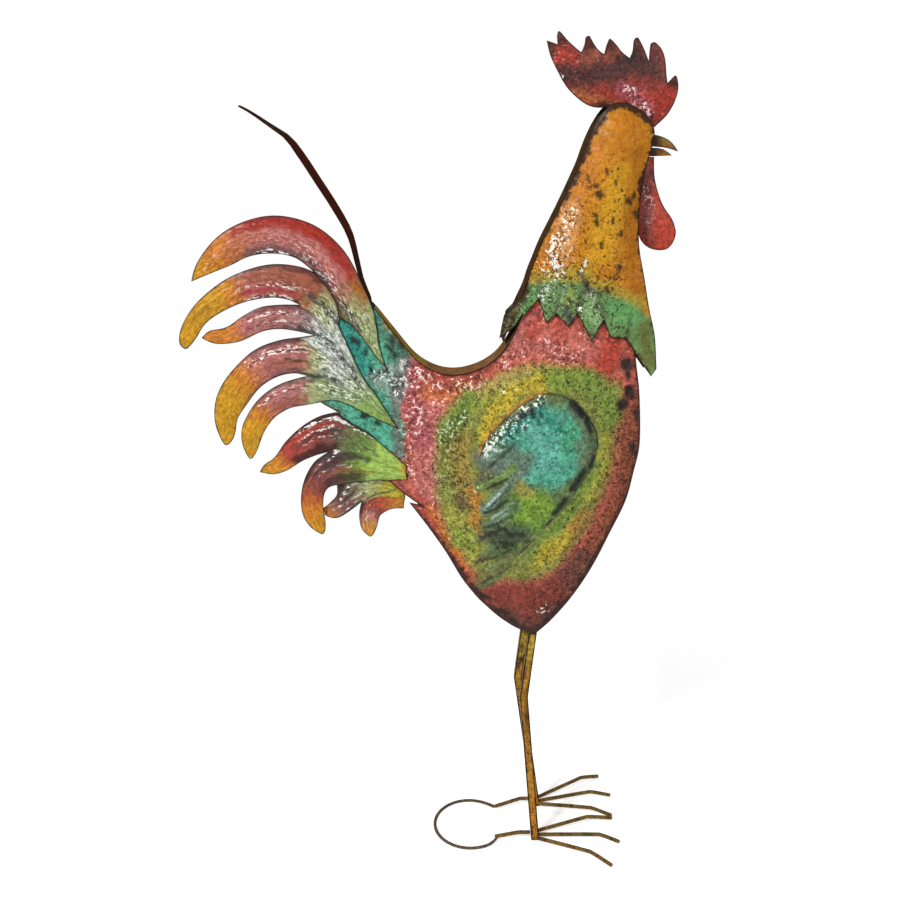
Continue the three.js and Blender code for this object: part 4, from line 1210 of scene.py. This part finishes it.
# %% Middle lines and colours along them
TIP_GOLD = (0.50, 0.25, 0.014)
ROSE = (0.41, 0.14, 0.125)
TERRA = (0.28, 0.085, 0.048)
MAROON = (0.035, 0.011, 0.011)
# The pale silvery colour of the feathers' middles: pale paint with a painted sheen
ASH_AND_SHEEN = (0.47, 0.52, 0.46)
STRAW = (0.32, 0.34, 0.15)
FEATHERS = {
    "tail_top_feather": [
        ([(-291, 717), (-264, 743), (-231, 763), (-195, 768), (-158, 756), (-132, 727), (-111, 694), (-96, 660),
          (-80, 622)],
         [(0, TIP_GOLD), (38, ORANGE), (70, (0.42, 0.13, 0.07)), (110, ROSE), (200, ROSE), (222, (0.30, 0.16, 0.08)),
          (245, STRAW), (300, (0.26, 0.33, 0.14)), (330, LIME)])],
    "tail_upper_fan": [
        ([(-305, 640), (-289, 672), (-259, 698), (-232, 710), (-200, 714), (-172, 706), (-146, 688), (-126, 655),
          (-100, 612), (-70, 562)],
         [(0, TIP_GOLD), (66, TIP_GOLD), (90, ORANGE), (112, ROSE), (175, TERRA), (200, STRAW), (250, ASH_AND_SHEEN),
          (290, (0.24, 0.33, 0.13)), (340, (0.22, 0.33, 0.08))]),
        ([(-283, 650), (-256, 652), (-236, 662), (-215, 671), (-190, 675), (-165, 668), (-140, 643), (-110, 603),
          (-72, 560)],
         [(0, ORANGE), (35, ORANGE), (52, ROSE), (100, MAUVE), (130, (0.26, 0.2, 0.19)), (150, ASH_AND_SHEEN),
          (190, ASH_AND_SHEEN), (235, (0.24, 0.33, 0.13)), (300, (0.22, 0.33, 0.08))]),
        ([(-265, 524), (-263, 560), (-252, 586), (-235, 608), (-205, 627), (-170, 630), (-140, 618), (-105, 590),
          (-68, 553)],
         [(0, TIP_GOLD), (62, TIP_GOLD), (88, ORANGE), (112, ROSE), (160, MAUVE), (178, STRAW),
          (205, ASH_AND_SHEEN), (240, (0.24, 0.33, 0.13)), (300, (0.22, 0.34, 0.08))]),
        ([(-236, 507), (-233, 545), (-225, 566), (-205, 583), (-178, 590), (-150, 588), (-110, 575), (-70, 552)],
         [(0, TIP_GOLD), (36, TIP_GOLD), (58, ORANGE), (80, ROSE), (115, MAUVE),
          (132, STRAW), (165, (0.28, 0.38, 0.2)), (200, (0.22, 0.33, 0.09)), (240, (0.22, 0.34, 0.08))])],
    "tail_lower_fan": [
        ([(-224, 489), (-200, 502), (-180, 522), (-160, 535), (-133, 541), (-100, 525), (-56, 492)],
         [(0, TIP_GOLD), (26, ORANGE), (40, (0.34, 0.05, 0.035)), (85, (0.24, 0.06, 0.05)), (108, (0.12, 0.08, 0.06)),
          (140, (0.13, 0.20, 0.05)), (165, LIME), (185, LIME), (200, YELLOW)]),
        ([(-154, 412), (-163, 436), (-165, 462), (-153, 487), (-130, 496), (-100, 497), (-56, 488)],
         [(0, TIP_GOLD), (30, ORANGE), (46, (0.42, 0.10, 0.03)), (62, (0.22, 0.06, 0.045)), (100, (0.16, 0.09, 0.08)),
          (122, GREEN), (140, LIME), (172, LIME), (188, YELLOW)])],
    "tail_under_fan": [
        ([(-150, 434), (-132, 446), (-110, 460), (-85, 466), (-56, 458)],
         [(0, ORANGE), (12, (0.25, 0.12, 0.09)), (35, (0.17, 0.11, 0.10)), (60, STRAW), (78, YELLOW_GREEN),
          (95, YELLOW)]),
        ([(-97, 407), (-99, 430), (-89, 445), (-56, 450)],
         [(0, TIP_GOLD), (14, (0.50, 0.22, 0.06)), (24, (0.42, 0.17, 0.14)), (34, (0.20, 0.05, 0.04)),
          (46, (0.36, 0.06, 0.03)), (60, (0.42, 0.12, 0.03)), (74, TIP_GOLD)])]
}
print("feathers:", sum(len(fan) for fan in FEATHERS.values()))

# %% [markdown]
# A stripe along a feather is given as the feather's number, the stripe's side share and half width, where
# it starts and ends along the feather, what it lays on, and how strongly. Many of the dark maroon stripes are
# painted shade in the grooves and along the edges, and the bare ones are worn metal with painted glints.

# %% Stripes
STRIPES = {
    "tail_top_feather": [
        (0, 0.75, 0.62, 70, 212, (0.30, 0.022, 0.013), 0.97), (0, 0.6, 0.5, 30, 62, ORANGE, 0.7),
        (0, 0.7, 0.5, 212, 238, AMBER, 0.9), (0, -0.75, 0.35, 70, 200, (0.13, 0.07, 0.08), 0.75),
        (0, -0.95, 0.28, 80, 150, "bare", 0.95), (0, -0.55, 0.55, 150, 260, "bare", 0.66),
        (0, -0.1, 0.4, 90, 200, "bare", 0.42), (0, 0.0, 0.9, 235, 300, "bare", 0.55),
        (0, -0.9, 0.3, 195, 262, MAROON, 0.7), (0, -0.1, 0.6, 12, 50, "bare", 0.42)],
    "tail_upper_fan": [
        (0, 0.45, 0.55, 95, 190, TERRA, 0.9), (0, 0.9, 0.2, 95, 200, MAROON, 0.6),
        (0, -0.1, 0.16, 88, 165, "bare", 0.8), (0, -0.45, 0.2, 90, 165, (0.34, 0.03, 0.045), 0.8),
        (0, -0.85, 0.25, 85, 185, "bare", 0.9), (0, 0.1, 0.2, 140, 175, "bare", 0.66),
        (0, 0.0, 0.9, 190, 260, "bare", 0.62), (0, 0.2, 0.25, 22, 60, MAROON, 0.35),
        (1, 0.8, 0.3, 60, 120, MAROON, 0.55), (1, 0.35, 0.25, 50, 120, "bare", 0.74),
        (1, -0.3, 0.25, 50, 120, "bare", 0.74), (1, -0.85, 0.3, 90, 130, MAROON, 0.5),
        (1, 0.0, 0.9, 118, 230, "bare", 0.66), (1, 0.75, 0.35, 112, 160, MAROON, 0.75),
        (2, 0.85, 0.25, 110, 170, MAROON, 0.6), (2, 0.4, 0.35, 95, 170, "bare", 0.74),
        (2, -0.3, 0.4, 118, 165, TERRA, 0.75), (2, -0.85, 0.25, 110, 175, (0.10, 0.05, 0.045), 0.6),
        (2, 0.1, 0.8, 172, 255, "bare", 0.7), (2, 0.9, 0.2, 150, 190, MAROON, 0.7),
        (3, 0.7, 0.3, 55, 135, (0.12, 0.06, 0.06), 0.6), (3, 0.15, 0.3, 60, 135, "bare", 0.66),
        (3, -0.6, 0.35, 70, 125, TERRA, 0.7), (3, 0.75, 0.3, 128, 172, MAROON, 0.6),
        (3, 0.1, 0.5, 140, 195, "bare", 0.74)],
    "tail_lower_fan": [
        (0, 0.95, 0.28, 50, 150, MAROON, 0.85), (0, 0.72, 0.17, 62, 150, "bare", 0.95),
        (0, 0.45, 0.18, 45, 110, CRIMSON, 0.8), (0, 0.22, 0.14, 50, 110, "bare", 0.72),
        (0, 0.0, 0.16, 50, 120, MAROON, 0.7), (0, -0.2, 0.13, 55, 118, "bare", 0.66),
        (0, -0.75, 0.42, 35, 120, MAROON, 0.85), (1, 0.9, 0.25, 55, 120, MAROON, 0.8),
        (1, 0.62, 0.15, 84, 150, "bare", 0.97), (1, 0.35, 0.2, 70, 130, MAROON, 0.75),
        (1, 0.1, 0.14, 66, 130, "bare", 0.6), (1, -0.15, 0.2, 60, 120, (0.25, 0.05, 0.045), 0.7),
        (1, -0.65, 0.4, 62, 135, MAROON, 0.8), (1, -0.3, 0.12, 90, 150, (0.20, 0.09, 0.02), 0.7)],
    "tail_under_fan": [
        (0, 0.8, 0.25, 14, 60, MAROON, 0.85), (0, 0.5, 0.14, 14, 75, "bare", 0.85),
        (0, 0.2, 0.16, 10, 52, MAROON, 0.85), (0, -0.1, 0.14, 8, 60, "bare", 0.85),
        (0, -0.4, 0.16, 14, 56, (0.2, 0.04, 0.04), 0.8), (0, -0.65, 0.12, 20, 50, "bare", 0.7),
        (0, -0.9, 0.2, 20, 60, MAROON, 0.8), (0, -0.6, 0.3, 60, 90, (0.42, 0.16, 0.02), 0.8),
        (1, 0.85, 0.3, 20, 50, MAROON, 0.85), (1, 0.3, 0.35, 17, 27, "bare", 0.9),
        (1, 0.5, 0.2, 38, 62, "bare", 0.85)]
}
# The dark valleys where feathers part from one another: a path and how far it reaches to each side
SHADE = {
    "tail_top_feather": [([(-156, 726), (-142, 712), (-131, 692), (-124, 668)], 3.5), ([(-120, 690), (-104, 660)], 3)],
    "tail_upper_fan": [([(-160, 700), (-140, 684), (-128, 666)], 3),
                       ([(-172, 662), (-146, 650), (-122, 625), (-106, 600)], 3.2),
                       ([(-172, 606), (-148, 606), (-124, 596)], 3), ([(-190, 625), (-168, 622)], 1.5)],
    "tail_lower_fan": [([(-158, 506), (-128, 512), (-98, 504)], 2.4), ([(-100, 520), (-84, 510)], 1.4)],
    "tail_under_fan": [([(-100, 452), (-84, 462), (-64, 466)], 1.5)],
}
GOUGE = (-278, 676)   # a dark worn place near the tip of the second feather


# %% Pressing and painting a feather
def press_feather(lines):
    def press(flat, coords, edge):
        which, run, offset = along_lines(flat, lines)
        ridges = 0.5 + 0.5 * np.cos(offset / 1.25 + 1.3 * fine_noise(coords, 26 * MM, 9))
        shaft = 1 - ease(0, 3.0, np.abs(offset))
        return (0.75 * (1 - ridges) - 0.6 * hammered(coords, 6.5 * MM, 3)) * ease(0.5, 5, edge) + 0.7 * shaft
    return press


def brush_feather(node, lines, stops):
    def brush(piece, coords, edge):
        coat = Coat(coords, MAUVE, seed=41, wobble=3)
        which, run, offset = along_lines(coat.flat, lines)
        side = offset / (np.abs(offset) + edge + 0.3) + 0.16 * fine_noise(coords, 10 * MM, 47)
        loose = run + 11 * fine_noise(coords, 9 * MM, 45) + 5 * fine_noise(coords, 4 * MM, 46)
        for number, gradient in enumerate(stops):
            mine = which == number
            coat.paint[mine] = graded(loose[mine], gradient)
        # Worn metal with painted glints grows towards the root, and specks gather near the tip
        coat.put("bare", 0.04 + 0.14 * ease(50, 90, run))
        coat.put("speckle", 0.14 + 0.14 * ease(60, 20, run))
        for number, share, half, start, end, target, strength in STRIPES[node]:
            across = 1 - ease(0.35 * half, half, np.abs(side - share))
            along = ease(start - 12, start + 12, loose) * ease(end + 12, end - 12, loose)
            lay = coat.put if isinstance(target, str) else coat.bury
            lay(target, strength * across * along * (which == number))
        # Painted shade along each feather's edges, except near its tip
        coat.put(MAROON, 0.35 * (1 - ease(0.5, 3.5, edge)) * ease(40, 80, run))
        coat.put("patina", 0.15)
        if node == "tail_upper_fan":
            from_gouge = np.hypot(coat.flat[:, 0] - GOUGE[0], coat.flat[:, 1] - GOUGE[1])
            coat.put("patina", 0.62 * (which == 0) * (1 - ease(6, 14, from_gouge)))
        for path, width in SHADE[node]:
            coat.line((0.04, 0.035, 0.033), path, width, 0.8, soft=0.8 * width)
        coat.store(piece)
        flow = np.column_stack([run, offset, 40.0 * which]).astype(np.float32)
        piece.data.attributes.new("flow", "FLOAT_VECTOR", "POINT").data.foreach_set("vector", flow.ravel())
    return brush


# %% Feathers
for node, name in (("tail_top_feather", "top_feather"), ("tail_upper_fan", "upper_tail_fan"),
                   ("tail_lower_fan", "lower_tail_fan"), ("tail_under_fan", "under_tail_fan")):
    lines = [line for line, _ in FEATHERS[node]]
    stops = [gradient for _, gradient in FEATHERS[node]]
    fan = pressed_sheet(node, name, NEAR, press_feather(lines), brush_feather(node, lines, stops))
    finish_piece(fan, [node], feather_paint)

# %% [markdown]
# ## Rim strips and the sickle feather
# Strips of sheet close the gap between the two sides, along the back, round the breast and up the neck,
# and the long sickle feather is a strip set crosswise. They are seen on edge from the front, so a plain
# shape is enough. The outer lines of the back and breast strips and of the sickle are burnt, so these store
# how far a point lies from their long edges. On the sickle, whose section curves, that wide dark border is
# also painted shade.

# %% Painting a strip
def brush_strip(strip, base, strokes, seed):
    coords = flat_points(strip.data)
    coat = Coat(coords, base, seed=seed, wobble=2)
    coat.lay(strokes)
    coat.put("speckle", 0.35)
    coat.put("patina", 0.35)
    coat.store(strip)
    return coords


# %% Rims
RIM_STROKES = {
    "saddle_rim": [((0.27, 0.19, 0.03), [(-100, 710), (-60, 650), (-40, 622)], 12, 0.9),
                   ((0.10, 0.07, 0.03), [(88, 704), (70, 670), (56, 650)], 12, 0.9)],
    "breast_rim": [((0.12, 0.03, 0.02), [(214, 500), (150, 340), (100, 285)], 30, 0.9)],
}
for node, strokes in RIM_STROKES.items():
    strip = soft_strip(node, f"{node}_strip")
    across = brush_strip(strip, RIM_BROWN, strokes, 61)[:, 1]
    middle = (across.max() + across.min()) / 2
    store(strip, "edge", (across.max() - middle - np.abs(across - middle)) / MM + 0.6)
    finish_piece(strip, [node], rim_paint)
for node in ("neck_back_rim", "neck_front_rim"):
    finish_piece(soft_strip(node, f"{node}_strip"), [node], neck_rim_paint)

# %% Sickle feather
SICKLE_STROKES = [(UMBER, [(-240, 910), (-190, 880)], 14, 0.9), (UMBER, [(-104, 738), (-92, 680)], 12, 0.9)]
sickle = soft_strip("sickle_feather", "sickle_blade")
# Its very dark brown is partly its paint and partly painted shade, as it stands edge-on
coords = brush_strip(sickle, (0.07, 0.016, 0.009), SICKLE_STROKES, 51)
half = np.interp(coords[:, 2] / MM, (680, 800, 850, 908), (10, 18, 18, 5))
store(sickle, "edge", np.maximum(half - np.abs(coords[:, 1] / MM + PART_CENTRE[1]), 1.5))
finish_piece(sickle, ["sickle_feather"], sickle_paint)

# %% [markdown]
# ## Legs, toes and the wire loop
# The legs are square bar with one bend at the knee, and they touch from the front, so the bars are swollen
# by half a millimetre to close the gap between them. The toes and heel bars are rods, and the loop that
# steadies the rooster is thinner wire. None of them goes below the ground.

# %% Legs and toes
LEG_SPOTS = [(92, 232), (88, 218), (96, 206), (84, 240), (98, 222), (90, 250), (99, 190), (96, 172), (104, 120),
             (110, 84)]
for word in ("near", "far"):
    bar = bevelled(f"{word}_leg", f"{word}_leg_bar", 0.9, 0.6)
    coat = Coat(flat_points(bar.data), (0.30, 0.15, 0.016), seed=71, wobble=3)
    z = coat.flat[:, 1]
    coat.lay([((0.36, 0.24, 0.035), [(100, 300), (94, 255)], 16, 0.85),
              ((0.22, 0.09, 0.012), [(94, 180), (104, 110)], 12, 0.6),
              ((0.33, 0.12, 0.012), [(112, 45), (116, 0)], 14, 0.8)])
    coat.dabs((0.045, 0.016, 0.01), LEG_SPOTS, (1, -7), 2.4, 0.85)
    coat.put("speckle", 0.55)
    coat.put("patina", 0.2 + 0.45 * ease(180, 205, z) * ease(262, 240, z))
    coat.store(bar)
    stand(bar)
    finish_piece(bar, [f"{word}_leg"], leg_paint)
    for name in (f"{word}_outer_toe", f"{word}_middle_toe", f"{word}_inner_toe", f"{word}_heel_bar"):
        rod = round_rod(name, f"{name}_rod", bend=0.7, inflate=0.3)
        stand(rod)
        finish_piece(rod, [name], toe_paint)

# %% Wire loop
LOOP_ENDS = 46            # the drawing's X where the loop's two ends begin to rise to the heel bars
LOOP_RISE = (4.0, 1.5)    # by how much the near end rises, and the far one
loop = round_rod("support_loop", "loop_wire", bend=0.0, inflate=0.5, bridged=True)
for vertex in loop.data.vertices:
    end = (vertex.co.x / MM + PART_CENTRE[0] - LOOP_ENDS) / 15
    vertex.co.z += MM * LOOP_RISE[vertex.co.y >= 0] * min(max(end, 0), 1) ** 2
stand(loop)
finish_piece(loop, ["support_loop"], wire_paint)
